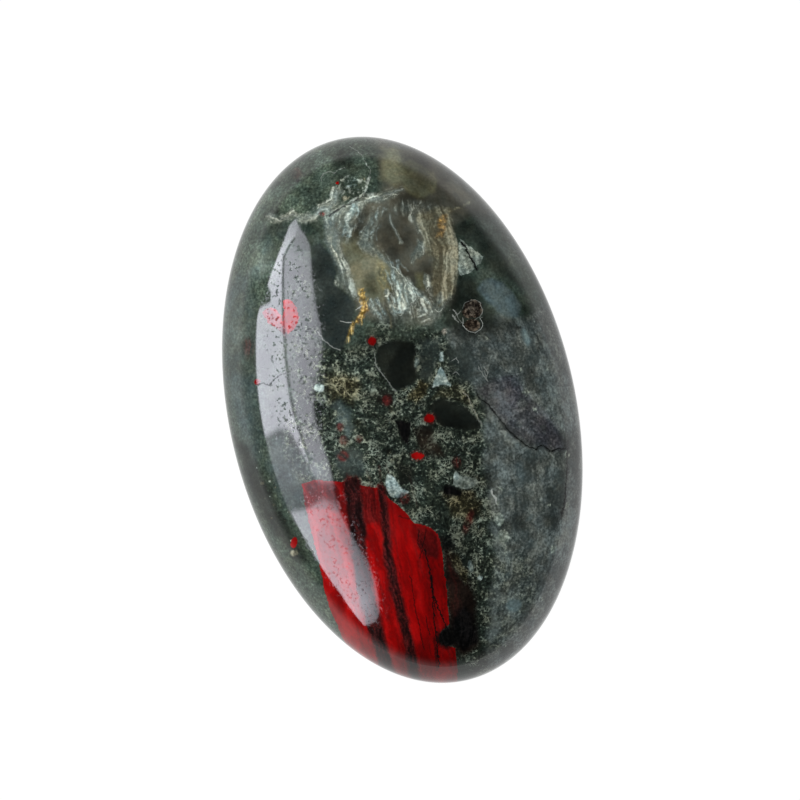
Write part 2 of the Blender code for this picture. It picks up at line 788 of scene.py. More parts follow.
@dataclass(frozen=True)
class Spot:
    """A rounded grain or clast of one mineral."""

    mineral: Mineral
    centre: Point
    across: float
    down: float = 0.0
    turn_deg: float = 0.0
    soft: float = 1.0
    ragged: float = 0.8
    grain: float = 5.0
    strength: float = 1.0
    seed: int = 9

    def paint(self, canvas: Canvas) -> None:
        """Lays the spot.

        Args:
            canvas: The stone, which takes the marking.
        """
        down = self.down or self.across
        at = canvas.near([self.centre], max(self.across, down) + 3 * self.ragged + self.soft)
        wide, tall = from_centre(canvas.x[at], canvas.y[at], self.centre, self.turn_deg)
        gap = (np.hypot(wide / self.across, tall / down) - 1.0) * min(self.across, down)
        gap = gap + self.ragged * canvas.rough(at, self.seed, self.grain)
        canvas.lay(self.mineral, at, self.strength * smooth_step(self.soft, -self.soft, gap))


@dataclass(frozen=True)
class Vein:
    """A line of one mineral, which may taper, wander and break up."""

    mineral: Mineral
    line: list[Point]
    width: float = 1.0
    end_width: float = 0.0
    soft: float = 1.0
    wander: float = 1.0
    grain: float = 5.0
    strength: float = 1.0
    patchy: float = 0.0
    groove: float = 0.0
    combed: bool = False
    seed: int = 9

    def paint(self, canvas: Canvas) -> None:
        """Lays the vein, and cuts its groove if it has one.

        Args:
            canvas: The stone, which takes the marking.
        """
        widest = max(self.width, self.end_width)
        at = canvas.near(self.line, widest + self.soft + 2 * self.wander)
        x = canvas.x[at] + self.wander * canvas.rough(at, self.seed, self.grain)
        y = canvas.y[at] + self.wander * canvas.rough(at, self.seed + 1, self.grain)
        gap, along, _ = line_distance(x, y, self.line)
        width = self.width + (self.end_width - self.width) * along if self.end_width else self.width
        cover = self.strength * smooth_step(0.0, -1.0, (gap - width - self.soft) / (2 * self.soft))
        cover = canvas.thinned(cover, at, self.patchy, self.seed, self.grain)
        canvas.lay(self.mineral, at, cover)
        if self.groove:
            canvas.groove[at] = np.maximum(canvas.groove[at], self.groove * cover)
        if self.combed:
            canvas.comb(at[cover > COMBED_FROM], self.line)


@dataclass(frozen=True)
class Hairline:
    """A crisp line finer than the mesh, which the finish draws from how far each point is from it."""

    line: list[Point]
    width: float = 0.5
    pale: bool = False
    cut: bool = False
    strength: float = 0.9
    wander: float = 1.0
    grain: float = 5.0
    patchy: float = 0.0
    seed: int = 9

    def paint(self, canvas: Canvas) -> None:
        """Keeps each near point's side and distance, in widths of the line.

        Args:
            canvas: The stone, which takes the marking.
        """
        at = canvas.near(self.line, HAIR_REACH_PX + 2 * self.wander)
        x = canvas.x[at] + self.wander * canvas.rough(at, self.seed, self.grain)
        y = canvas.y[at] + self.wander * canvas.rough(at, self.seed + 1, self.grain)
        gap, along, side = line_distance(x, y, self.line)
        nearer = gap < canvas.hair_gap[at]
        at, gap, along, side = at[nearer], gap[nearer], along[nearer], side[nearer]
        shown = self.strength * smooth_step(*HAIR_FADE_PX, gap) * (along > 0.0) * (along < 1.0)
        shown = canvas.thinned(shown, at, self.patchy, self.seed, 2 * self.grain)
        canvas.hair_gap[at] = gap
        canvas.hair_side[at] = side * gap / self.width
        canvas.hairs["pale_hair"][at] = shown * self.pale
        canvas.hairs["dark_hair"][at] = shown * (not self.pale)
        canvas.hairs["cut_hair"][at] = shown * self.cut


@dataclass(frozen=True)
class Fibres:
    """A bundle of fine threads that follow a guide line."""

    mineral: Mineral
    guide: list[Point]
    spread: float
    count: int
    length: float
    width: float = 0.6
    wave: float = 1.5
    splay: float = 0.0
    soft: float = 0.8
    strength: float = 0.8
    seed: int = 9

    def point_on(self, share: float) -> tuple[Point, Point]:
        """A point on the guide, and the guide's direction there.

        Args:
            share: How far along the guide the point is, from 0 to 1.

        Returns:
            The point and a direction of length 1.
        """
        pieces = len(self.guide) - 1
        place = min(int(share * pieces), pieces - 1)
        part = share * pieces - place
        (ax, ay), (bx, by) = self.guide[place], self.guide[place + 1]
        run = max(math.hypot(bx - ax, by - ay), 1e-6)
        return (ax + part * (bx - ax), ay + part * (by - ay)), ((bx - ax) / run, (by - ay) / run)

    def paint(self, canvas: Canvas) -> None:
        """Lays the threads one by one.

        Args:
            canvas: The stone, which takes the marking.
        """
        dice = np.random.default_rng(self.seed)
        whole = sum(math.dist(a, b) for a, b in zip(self.guide, self.guide[1:]))
        for _ in range(self.count):
            start = dice.random()
            side = dice.uniform(-1.0, 1.0) * self.spread
            reach = self.length * (0.5 + dice.random()) / whole
            phase, rate = dice.random() * FULL_TURN, 0.6 + 1.2 * dice.random()
            lean = dice.normal() * self.splay
            line: list[Point] = []
            for step in range(THREAD_POINTS):
                part = step / (THREAD_POINTS - 1)
                share = start + (part - 0.5) * reach
                (px, py), (dx, dy) = self.point_on(min(max(share, 0.0), 1.0))
                offset = side * (1.0 + lean * part) + self.wave * math.sin(phase + rate * step)
                line.append((px - dy * offset, py + dx * offset))
            strength = self.strength * (0.35 + 0.65 * dice.random())
            width = self.width * (0.6 + 0.8 * dice.random())
            thread = Vein(self.mineral, line, width, soft=self.soft, wander=0.0, strength=strength)
            thread.paint(canvas)


def scattered(dice: np.random.Generator, area: list[Point], count: int) -> Iterator[Point]:
    """Random places inside an outline.

    Args:
        dice: The random numbers.
        area: The outline.
        count: How many places are tried in the box round it.

    Yields:
        The places that are inside.
    """
    xs, ys = zip(*area)
    for _ in range(count):
        x, y = dice.uniform(min(xs), max(xs)), dice.uniform(min(ys), max(ys))
        if outline_distance(np.array([x]), np.array([y]), area)[0] < 0.0:
            yield x, y


@dataclass(frozen=True)
class Chips:
    """Small broken fragments scattered over an area."""

    minerals: list[Mineral]
    area: list[Point]
    count: int
    smallest: float = 1.0
    largest: float = 4.0
    strength: float = 1.0
    seed: int = 9

    def paint(self, canvas: Canvas) -> None:
        """Lays the fragments, each a small uneven outline.

        Args:
            canvas: The stone, which takes the marking.
        """
        dice = np.random.default_rng(self.seed)
        for x, y in scattered(dice, self.area, self.count):
            size = self.smallest + (self.largest - self.smallest) * dice.random() ** 2.5
            corners = dice.integers(4, 7)
            turn, squash = dice.uniform(0.0, FULL_TURN), dice.uniform(0.45, 1.0)
            reach = size * dice.uniform(0.7, 1.25, size=corners)
            mineral = self.minerals[dice.integers(len(self.minerals))]
            strength = self.strength * (0.4 + 0.6 * dice.random())
            outline: list[Point] = []
            for corner in range(corners):
                angle = 2.0 * math.pi * corner / corners
                wide, tall = reach[corner] * math.cos(angle), squash * reach[corner] * math.sin(angle)
                outline.append((x + math.cos(turn) * wide - math.sin(turn) * tall,
                                y + math.sin(turn) * wide + math.cos(turn) * tall))
            Patch(mineral, outline, soft=0.7, ragged=0.0, strength=strength).paint(canvas)


@dataclass(frozen=True)
class Pits:
    """Small flaws where the polish has plucked out, cut as shallow grooves with a duller gloss and painted
    dark as painted shade in them.
    """

    area: list[Point]
    count: int
    smallest: float = 0.8
    largest: float = 3.0
    strength: float = 0.5
    seed: int = 9

    def paint(self, canvas: Canvas) -> None:
        """Cuts each flaw as a short bent groove and paints it dark, as painted shade.

        Args:
            canvas: The stone, which takes the marking.
        """
        dice = np.random.default_rng(self.seed)
        for x, y in scattered(dice, self.area, self.count):
            size = self.smallest + (self.largest - self.smallest) * dice.random() ** 3
            heading, bend = dice.uniform(0.0, 2.0 * math.pi), dice.uniform(-1.2, 1.2)
            line = [(x, y)]
            for turn in (heading, heading + bend):
                line.append((line[-1][0] + size * math.cos(turn), line[-1][1] + size * math.sin(turn)))
            # The ink is painted shade: the pit's darkness stands in for the reflection it loses.
            flaw = Vein(Mineral.INK, line, 0.3, soft=0.8, wander=0.0, strength=self.strength, groove=1.0)
            flaw.paint(canvas)


@dataclass(frozen=True)
class Wear:
    """An area whose polish is more pitted or less pitted than the rest."""

    area: list[Point]
    worn: float
    soft: float = 8.0

    def paint(self, canvas: Canvas) -> None:
        """Keeps how pitted the area is.

        Args:
            canvas: The stone, which takes the marking.
        """
        at, share = canvas.inside(self.area, self.soft)
        canvas.worn[at] += share * (self.worn - canvas.worn[at])


@dataclass(frozen=True)
class Shade:
    """A lighter or darker place, in steps of a doubling of light."""

    centre: Point
    across: float
    down: float
    steps: float
    turn_deg: float = 0.0

    def paint(self, canvas: Canvas) -> None:
        """Adds to the tone round the centre.

        Args:
            canvas: The stone, which takes the marking.
        """
        wide, tall = from_centre(canvas.x, canvas.y, self.centre, self.turn_deg)
        canvas.tone += self.steps * np.exp(-((wide / self.across) ** 2) - (tall / self.down) ** 2)


@dataclass(frozen=True)
class Mottle:
    """Uneven light and dark clouds over an area."""

    area: list[Point]
    size_px: float
    steps: float
    soft: float = 10.0
    seed: int = 9

    def paint(self, canvas: Canvas) -> None:
        """Adds noise to the tone inside the area.

        Args:
            canvas: The stone, which takes the marking.
        """
        at, inside = canvas.inside(self.area, self.soft)
        canvas.tone[at] += self.steps * inside * canvas.rough(at, self.seed, self.size_px)


# The markings name their minerals by this one letter.
M = Mineral


def trace(*numbers: float) -> list[Point]:
    """Points of the photograph, from the x and y of each in turn."""
    return list(zip(numbers[::2], numbers[1::2]))


class Region(Protocol):
    """A part of the stone."""

    def markings(self) -> list[Marking]:
        """What lies in it, in the order it is laid."""


class Ground:
    """The large zones that the smaller markings lie in."""

    left_side = trace(300, 100, 372, 100, 380, 186, 330, 203, 296, 216, 284, 250, 266, 300, 258, 380,
        268, 440, 300, 520, 318, 560, 334, 612, 372, 654, 330, 720, 180, 560, 160, 300)
    top_window = trace(372, 100, 500, 120, 540, 220, 470, 214, 452, 232, 456, 300, 430, 322, 392, 332,
        360, 312, 346, 290, 334, 262, 328, 222, 350, 207, 384, 196)
    right_mist = trace(450, 326, 478, 322, 500, 312, 530, 318, 545, 300, 640, 330, 640, 640, 560, 720,
        488, 700, 480, 640, 486, 590, 488, 540, 478, 500, 482, 440, 480, 400, 462, 372, 446, 345)
    middle = trace(306, 348, 350, 348, 380, 322, 446, 330, 462, 372, 480, 400, 486, 440, 488, 500, 494, 560,
        490, 640, 488, 700, 444, 640, 440, 540, 410, 520, 386, 498, 340, 484, 300, 480, 280, 450, 290, 400)
    mist_guide = trace(470, 290, 520, 360, 556, 440, 562, 520, 540, 620)
    rim_top = trace(380, 130, 440, 146, 490, 190, 530, 250)

    def markings(self) -> list[Marking]:
        """The ground of each part of the stone.

        Returns:
            The zones, in the order they are laid.
        """
        return [
            Patch(M.MOSS, self.left_side, soft=9, ragged=9, grain=30, strength=0.8),
            Patch(M.SMOKE, self.top_window, soft=6, grain=22),
            Patch(M.MIST, self.right_mist, soft=7, ragged=7, grain=26, guide=self.mist_guide),
            Patch(M.BRECCIA, self.middle, soft=5, ragged=8, grain=20),
            Vein(M.MIST, self.rim_top, 14, soft=8, wander=3, strength=0.6),
        ]


class UpperLeft:
    """Moss, a mossy clast and the pale vein that crosses below them."""

    moss_area = trace(240, 222, 262, 186, 300, 150, 345, 138, 374, 150, 372, 190, 330, 202, 296, 216)
    clast = trace(333, 184, 343, 175, 357, 175, 368, 180, 367, 190, 356, 198, 342, 202, 332, 196)
    clast_edge = trace(369, 176, 366, 188, 364, 194, 356, 199, 346, 203)
    vein_left = trace(270, 216, 280, 220, 292, 214, 298, 218, 306, 219, 314, 217, 320, 209, 328, 208,
        334, 201, 337, 192)
    vein_right = trace(331, 218, 342, 211, 352, 206, 365, 201, 377, 198, 387, 195, 397, 190, 403, 188)
    crack = trace(329, 216, 336, 211, 343, 207, 352, 203, 361, 197, 366, 192)
    curl_down = trace(350, 146, 358, 151, 365, 161, 370, 170, 371, 178, 367, 187, 362, 195)
    curl_across = trace(321, 182, 320, 178, 325, 173, 331, 172, 338, 171, 345, 168)
    teal_with_painted_sheen = trace(252, 270, 258, 250, 268, 238, 276, 246, 270, 268, 258, 282)
    dark_green = trace(256, 240, 264, 226, 280, 219, 292, 222, 282, 240, 270, 240)

    def markings(self) -> list[Marking]:
        """What lies in this part of the stone.

        Returns:
            The markings, in the order they are laid.
        """
        return [
            Mottle(self.moss_area, 18, 1.1, seed=10),
            Shade((286, 199), 17, 12, 0.6, -30),
            Spot(M.BLACK, (345, 158), 10, 12, soft=5, ragged=3, strength=0.55),
            Spot(M.BLACK, (276, 212), 6, 3.5, soft=2.5, ragged=2, strength=0.75),
            Spot(M.ICE, (269, 215), 3, 1.8),
            Patch(M.SAGE, self.clast, soft=2, ragged=2.5, strength=0.55, patchy=0.5),
            Chips([M.SAGE, M.TAN, M.BLACK, M.ICE, M.MOSS], self.clast, 90, 0.8, 2.2, strength=0.6,
                seed=14),
            Spot(M.TAN, (345, 198), 3.5, 2, soft=1.5, ragged=1.5, strength=0.8),
            Vein(M.SAGE, self.clast_edge, 0.7, strength=0.8),
            Vein(M.SAGE, self.curl_down, 0.9, wander=2.6, strength=0.65, patchy=0.6),
            Vein(M.SAGE, self.curl_across, 0.8, wander=1.6, strength=0.6, patchy=0.4),
            Spot(M.MAROON, (296, 173), 5, 5.5, soft=3, ragged=2, strength=0.5),
            Spot(M.INK, (297.5, 180.5), 2.2, 1.8, soft=0.8),
            Spot(M.JASPER, (337.5, 183), 2.0, ragged=0.3, strength=0.85),
            Patch(M.SLATE, self.dark_green, soft=6, strength=0.7),
            # The teal beside the mirrored window's left edge is partly the stone's own lighter teal and
            # partly painted sheen: the shade below lightens it as a painted reflection.
            Patch(M.TEAL, self.teal_with_painted_sheen, soft=7, ragged=2, strength=0.85),
            Patch(M.OLIVE, self.teal_with_painted_sheen, soft=7, ragged=2, strength=0.3),
            Shade((262, 262), 14, 26, 1.2, 20),
            Vein(M.PLUME, self.vein_left, 3.0, 5.0, soft=4, wander=3, combed=True),
            Vein(M.PLUME, self.vein_right, 5.5, 2.5, soft=5, wander=3, combed=True),
            Shade((314, 214), 20, 7, 0.7, -8),
            Shade((350, 206), 20, 7, 0.7, -25),
            Vein(M.ICE, self.vein_right[:5], 1.8, 1.0, soft=3, wander=3, strength=0.6, patchy=0.3),
            Vein(M.ICE, self.vein_left[4:], 1.0, 2.0, soft=3, wander=3, strength=0.6, patchy=0.3),
            *[Hairline(line, 0.4, pale=True, strength=0.35, wander=2.6, patchy=0.7)
                for line in (self.vein_left, self.vein_right[3:])],
            Hairline(self.crack, 0.7, cut=True),
            *[Hairline(line, 0.4, pale=True, strength=0.4, wander=2.6, patchy=0.6)
                for line in (self.curl_down, self.curl_across, self.clast_edge)],
            Spot(M.MAROON, (322, 213.5), 3, 2),
            Spot(M.JASPER, (322.5, 213), 1.6, 1.1, soft=0.8, ragged=0.3, strength=0.7),
        ]


class PlumeWindow:
    """White plumes, gold threads and a tan fibrous column in a smoky window."""

    olive_glow = trace(340, 244, 352, 234, 366, 242, 380, 252, 390, 270, 392, 292, 382, 302, 366, 302,
        354, 292, 346, 272)
    olive_top = trace(383, 150, 394, 148, 403, 158, 403, 180, 394, 186, 382, 178)
    dark_clast = trace(402, 164, 410, 159, 422, 164, 433, 173, 438, 181, 434, 192, 424, 198, 411, 196,
        404, 188, 400, 176)
    brown_window = trace(378, 226, 382, 214, 390, 210, 404, 216, 414, 226, 422, 240, 430, 254, 432, 280,
        424, 290, 410, 280, 397, 267, 385, 254, 376, 242)
    veil = trace(338, 222, 352, 214, 376, 206, 410, 200, 436, 206, 450, 216, 458, 250, 456, 300, 430, 322,
        392, 330, 362, 308, 346, 286, 334, 258)
    veil_guide = trace(372, 196, 366, 250, 390, 320)
    swoosh_end = trace(358, 242, 364, 238, 372, 244, 381, 252, 388, 262, 382, 262, 372, 256, 362, 252)
    swoosh_guide = trace(358, 238, 370, 248, 390, 264)
    wedge = trace(334, 218, 348, 208, 362, 203, 360, 212, 354, 222, 349, 233, 345, 230, 339, 224)
    wedge_guide = trace(352, 204, 347, 218, 346, 236)
    dark_slot = trace(357, 214, 366, 206, 370, 213, 365, 226, 358, 238, 354, 236, 353, 226)
    grey_streak = trace(374, 209, 381, 212, 379, 222, 374, 233, 370, 243, 364, 246, 358, 243, 363, 235,
        367, 225, 371, 216)
    streak_guide = trace(380, 206, 372, 226, 362, 248)
    blue_band = trace(325, 220, 326, 240, 330, 252, 334, 262, 341, 272, 349, 273, 347, 264, 341, 253,
        338, 240, 333, 219)
    blue_two = trace(332, 218, 335, 232, 340, 250, 346, 264, 350, 274)
    sage_plume = trace(334, 270, 344, 272, 352, 282, 354, 296, 346, 296, 338, 290, 332, 280)
    white_thread = trace(389.5, 214, 391, 222, 395, 229, 398, 236, 401, 242)
    small_plume = trace(418, 240, 423, 242, 423, 252, 420, 260, 416, 258, 414, 266, 410, 262, 411, 255,
        415, 250)
    seam = trace(375, 249, 385, 261, 393, 268, 401, 276, 411, 286, 419, 293, 428, 302)
    streak_down = trace(378, 252, 390, 294)
    seam_fuzz = trace(376, 256, 384, 262, 392, 270, 394, 282, 390, 292, 382, 294, 377, 284)
    hollow = trace(366, 272, 373, 272, 378, 280, 377, 292, 370, 294, 365, 284)
    feather = trace(391, 269, 400, 276, 408, 284, 414, 291, 414, 300, 409, 303, 406, 308, 401, 312, 398, 306,
        395, 296, 392, 284)
    feather_guide = trace(390, 262, 397, 284, 402, 312)
    fingers = [trace(371, 300, 376, 311, 382, 318), trace(376, 299, 381, 307, 385, 314),
               trace(386, 290, 389, 301, 395, 314), trace(369, 304, 374, 313)]
    cream_finger = trace(386, 308, 391, 317, 391, 327)
    blue_bar = trace(414, 291, 424, 298, 430, 304)
    smear = trace(420, 300, 432, 304, 442, 304, 443, 316, 436, 324, 424, 326, 418, 312)
    smear_edge = trace(436, 307, 440, 318, 434, 323, 424, 325)
    haze_low = trace(382, 330, 396, 320, 414, 317, 426, 326, 414, 340, 390, 342)
    yellow_bit = trace(415, 273, 422, 272, 425, 280, 424, 290, 417, 287)
    white_bit = trace(424, 273, 430, 275, 430, 284, 427, 290, 423, 282)
    column_wide = trace(416, 214, 432, 208, 450, 208, 452, 226, 455, 244, 460, 252, 458, 276, 455, 296,
        446, 298, 439, 306, 433, 296, 432, 264, 424, 244)
    column_core = trace(436, 232, 450, 228, 455, 250, 456, 272, 452, 294, 441, 303, 435, 290, 434, 258)
    column_guide = trace(430, 200, 441, 232, 446, 264, 444, 312)
    column_top = trace(470, 202, 461, 207, 452, 209, 446, 215)
    orange = trace(436, 238, 437, 222, 441, 214, 448, 213, 447, 224, 443, 238)
    gold_main = trace(359, 289, 361, 298, 366, 304, 361, 314, 352, 325, 347, 334, 344, 342)
    gold_core = trace(361, 303, 367, 301, 371, 311, 366, 317, 359, 317)
    gold_low = trace(350, 322, 358, 317, 360, 324, 352, 332, 347, 334)
    gold_top = trace(356, 310, 362, 305)
    moss_under_gold = trace(344, 322, 360, 318, 380, 326, 378, 344, 360, 352, 342, 346)
    thin_thread = trace(340, 321, 346, 322, 352, 322)

    def markings(self) -> list[Marking]:
        """What lies in this part of the stone.

        Returns:
            The markings, in the order they are laid.
        """
        return [
            Patch(M.PLUME, self.veil, soft=9, ragged=4, grain=14, strength=0.44, guide=self.veil_guide),
            Patch(M.OLIVE, self.olive_glow, soft=8, strength=0.75),
            Patch(M.OLIVE, self.olive_top, soft=6),
            Patch(M.OLIVE, self.dark_clast, soft=2.5),
            Shade((421, 180), 17, 18, -1.7, 30),
            Patch(M.SMOKE, self.brown_window),
            Shade((396, 248), 15, 20, -0.7, -25),
            Patch(M.PLUME, self.wedge, soft=5, guide=self.wedge_guide),
            Fibres(M.ICE, self.wedge_guide, 9, 26, 12, width=0.8, splay=0.4, soft=1.6, strength=0.75,
                seed=51),
            Patch(M.BLACK, self.dark_slot, ragged=1.5, strength=0.5),
            Patch(M.PLUME, self.grey_streak, strength=0.8, guide=self.streak_guide),
            Fibres(M.ICE, self.streak_guide, 8, 16, 14, width=0.5, splay=0.4, soft=1.4, strength=0.6,
                seed=49),
            Fibres(M.SMOKE, self.streak_guide, 12, 18, 14, width=0.8, splay=0.4, soft=1.6, seed=50),
            Patch(M.PLUME, self.swoosh_end, strength=0.8, guide=self.swoosh_guide),
            Patch(M.PLUME, self.sage_plume, soft=5, strength=0.6, guide=self.blue_two),
            Patch(M.TEAL, self.blue_band, guide=self.blue_two),
            Patch(M.PLUME, self.blue_band, strength=0.6, guide=self.blue_two),
            Vein(M.ICE, self.blue_two, 0.6, soft=1.4, wander=1.6, strength=0.4, patchy=0.4),
            Shade((332, 240), 7, 22, 0.7, -15),
            Vein(M.PLUME, self.white_thread, 0.8, 1.8, soft=2, combed=True),
            Hairline(self.white_thread, pale=True, strength=0.25),
            Patch(M.PLUME, self.smear, strength=0.4, patchy=0.4, guide=self.smear_edge),
            Patch(M.MOSS, self.haze_low, soft=6, strength=0.6),
            Patch(M.OLIVE, self.yellow_bit, soft=2.5),
            Patch(M.PLUME, self.white_bit, soft=1.5, ragged=1.5, strength=0.8,
                guide=trace(428, 270, 426, 292)),
            Patch(M.PLUME, self.small_plume, soft=3, guide=trace(422, 238, 412, 268)),
            Patch(M.BLACK, self.hollow, strength=0.4),
            Patch(M.OLIVE, self.seam_fuzz, guide=self.streak_down),
            Patch(M.GOLD, self.seam_fuzz, ragged=4, strength=0.28, patchy=0.3, guide=self.streak_down),
            Shade((385, 268), 8, 14, 0.55, -20),
            Fibres(M.SMOKE, self.streak_down, 6, 14, 12, width=0.4, soft=1.2, strength=0.6, seed=42),
            Patch(M.PLUME, self.feather, soft=2.6, ragged=3, guide=self.feather_guide),
            Shade((403, 292), 11, 16, 0.5),
            Fibres(M.ICE, self.feather_guide, 8, 30, 14, width=0.6, wave=0.8, splay=0.5, soft=1.2,
                strength=0.85, seed=43),
            Fibres(M.BLACK, self.feather_guide, 12, 12, 12, width=0.5, wave=0.8, splay=0.5, soft=1.2,
                strength=0.7, seed=45),
            Vein(M.PLUME, self.seam, 0.8, 1.8, soft=1.6),
            Vein(M.ICE, self.blue_bar, 1.3, soft=1.6, strength=0.55),
            *[Vein(M.PLUME, line, 1.3, soft=1.8, wander=1.5, seed=67 + n)
                for n, line in enumerate(self.fingers)],
            *[Vein(M.ICE, line, 0.6, wander=1.8, grain=3, strength=0.8, patchy=0.3, seed=85 + n)
                for n, line in enumerate(self.fingers)],
            Vein(M.TAN, self.cream_finger, 1.4, strength=0.85, patchy=0.3),
            Patch(M.TAN, self.column_wide, soft=5, strength=0.85, guide=self.column_guide),
            Patch(M.TAN, self.column_core, strength=0.5, guide=self.column_guide),
            Fibres(M.TAN, self.column_guide, 12, 34, 26, width=0.35, wave=0.8, soft=1.0, strength=0.6,
                seed=52),
            Fibres(M.SMOKE, self.column_guide, 14, 26, 22, width=0.4, wave=0.8, soft=1.0, strength=0.5,
                seed=53),
            Spot(M.PLUME, (440, 298), 4.5, 5.5, 10, soft=2, ragged=2, strength=0.75),
            Vein(M.TAN, self.column_top, 1.6, soft=1.6, wander=1.5, grain=3, strength=0.8, patchy=0.7),
            Patch(M.RUST, self.orange, soft=3, strength=0.65, patchy=0.5, guide=self.column_guide),
            Patch(M.MOSS, self.moss_under_gold, soft=3, ragged=4, strength=0.6),
            Patch(M.RUST, self.gold_core, soft=3, ragged=3, strength=0.85, patchy=0.6),
            Patch(M.RUST, self.gold_low, soft=3, ragged=3, strength=0.85, patchy=0.6),
            Fibres(M.GOLD, self.gold_main, 4.5, 44, 7, width=0.4, wave=1.2, splay=1.2, seed=76),
            Vein(M.GOLD, self.gold_main, 0.6, 1.1, wander=2.8, grain=4, patchy=0.7),
            Hairline(self.gold_top, 0.6, pale=True, strength=0.75),
            Hairline(self.thin_thread, 0.4, pale=True, strength=0.7, wander=0.5),
        ]


class RightShoulder:
    """Dark green ground with a split pale triangle, a slate oval and a metallic grain."""

    dark_ground = trace(452, 226, 462, 220, 476, 222, 492, 234, 506, 256, 518, 284, 508, 280, 498, 274,
        486, 262, 482, 252, 470, 242, 460, 236, 453, 231)
    dark_band = trace(458, 276, 474, 278, 482, 300, 498, 316, 514, 322, 530, 330, 508, 330, 490, 332,
        476, 340, 456, 336, 444, 322, 450, 300)
    upper_triangle = trace(460, 239, 472, 248, 483, 257, 481, 263, 475.5, 266, 466, 249)
    lower_triangle = trace(459, 241, 464, 248, 472, 262, 475, 268, 471, 272, 460, 276, 458, 268)
    split = trace(461, 241, 467, 251, 473, 262, 477, 270)
    oval = trace(477, 289, 483, 281, 492, 278, 503, 283, 513, 293, 521, 305, 518, 317, 508, 318, 497, 311,
        485, 299)
    metal = trace(464, 305, 468, 300, 474, 299, 481, 303, 483, 311, 479, 317, 466, 318, 462, 312)
    ring = trace(463, 318, 463, 325, 468, 331, 475, 333, 481, 329, 483, 323, 480, 318)
    grain_edge = trace(463, 309, 465, 303, 470, 300, 475, 299, 480, 303, 483, 310, 480, 317, 474, 320)
    side_bits = [trace(450, 310, 454, 317, 459, 323), trace(453, 309, 457, 314, 461, 311)]

    def markings(self) -> list[Marking]:
        """What lies in this part of the stone.

        Returns:
            The markings, in the order they are laid.
        """
        return [
            Patch(M.BLACK, self.dark_ground, soft=5, strength=0.72),
            Patch(M.BLACK, self.dark_band, soft=5, strength=0.72),
            Patch(M.TEAL, self.oval, soft=2),
            Shade((500, 298), 20, 11, 0.45, 40),
            Patch(M.SAGE, self.upper_triangle, soft=0.8),
            Patch(M.SAGE, self.lower_triangle, soft=0.8, ragged=0.8),
            Shade((469, 259), 13, 16, 0.5),
            Vein(M.INK, self.split, 0.2, 0.9, wander=0.3),
            Hairline(self.split, 0.9, wander=0.3),
            Patch(M.METAL, self.metal, soft=1.0),
            Spot(M.METAL, (472, 325), 8, 6, soft=1.5, ragged=0.4),
            Hairline(self.ring, 0.3, pale=True, strength=0.75, wander=0.6, patchy=0.3),
            Hairline(self.grain_edge, 0.3, pale=True, strength=0.45, patchy=0.6),
            *[Hairline(line, 0.5, pale=True, strength=0.5, wander=1.5, patchy=0.5)
                for line in self.side_bits],
            Spot(M.PYRITE, (444.3, 331.5), 2.0, 3.0, soft=0.8, ragged=0.2, strength=0.7),
            Spot(M.INK, (444.3, 331.8), 0.8, 1.2, soft=0.6, ragged=0.1, strength=0.7),
        ]


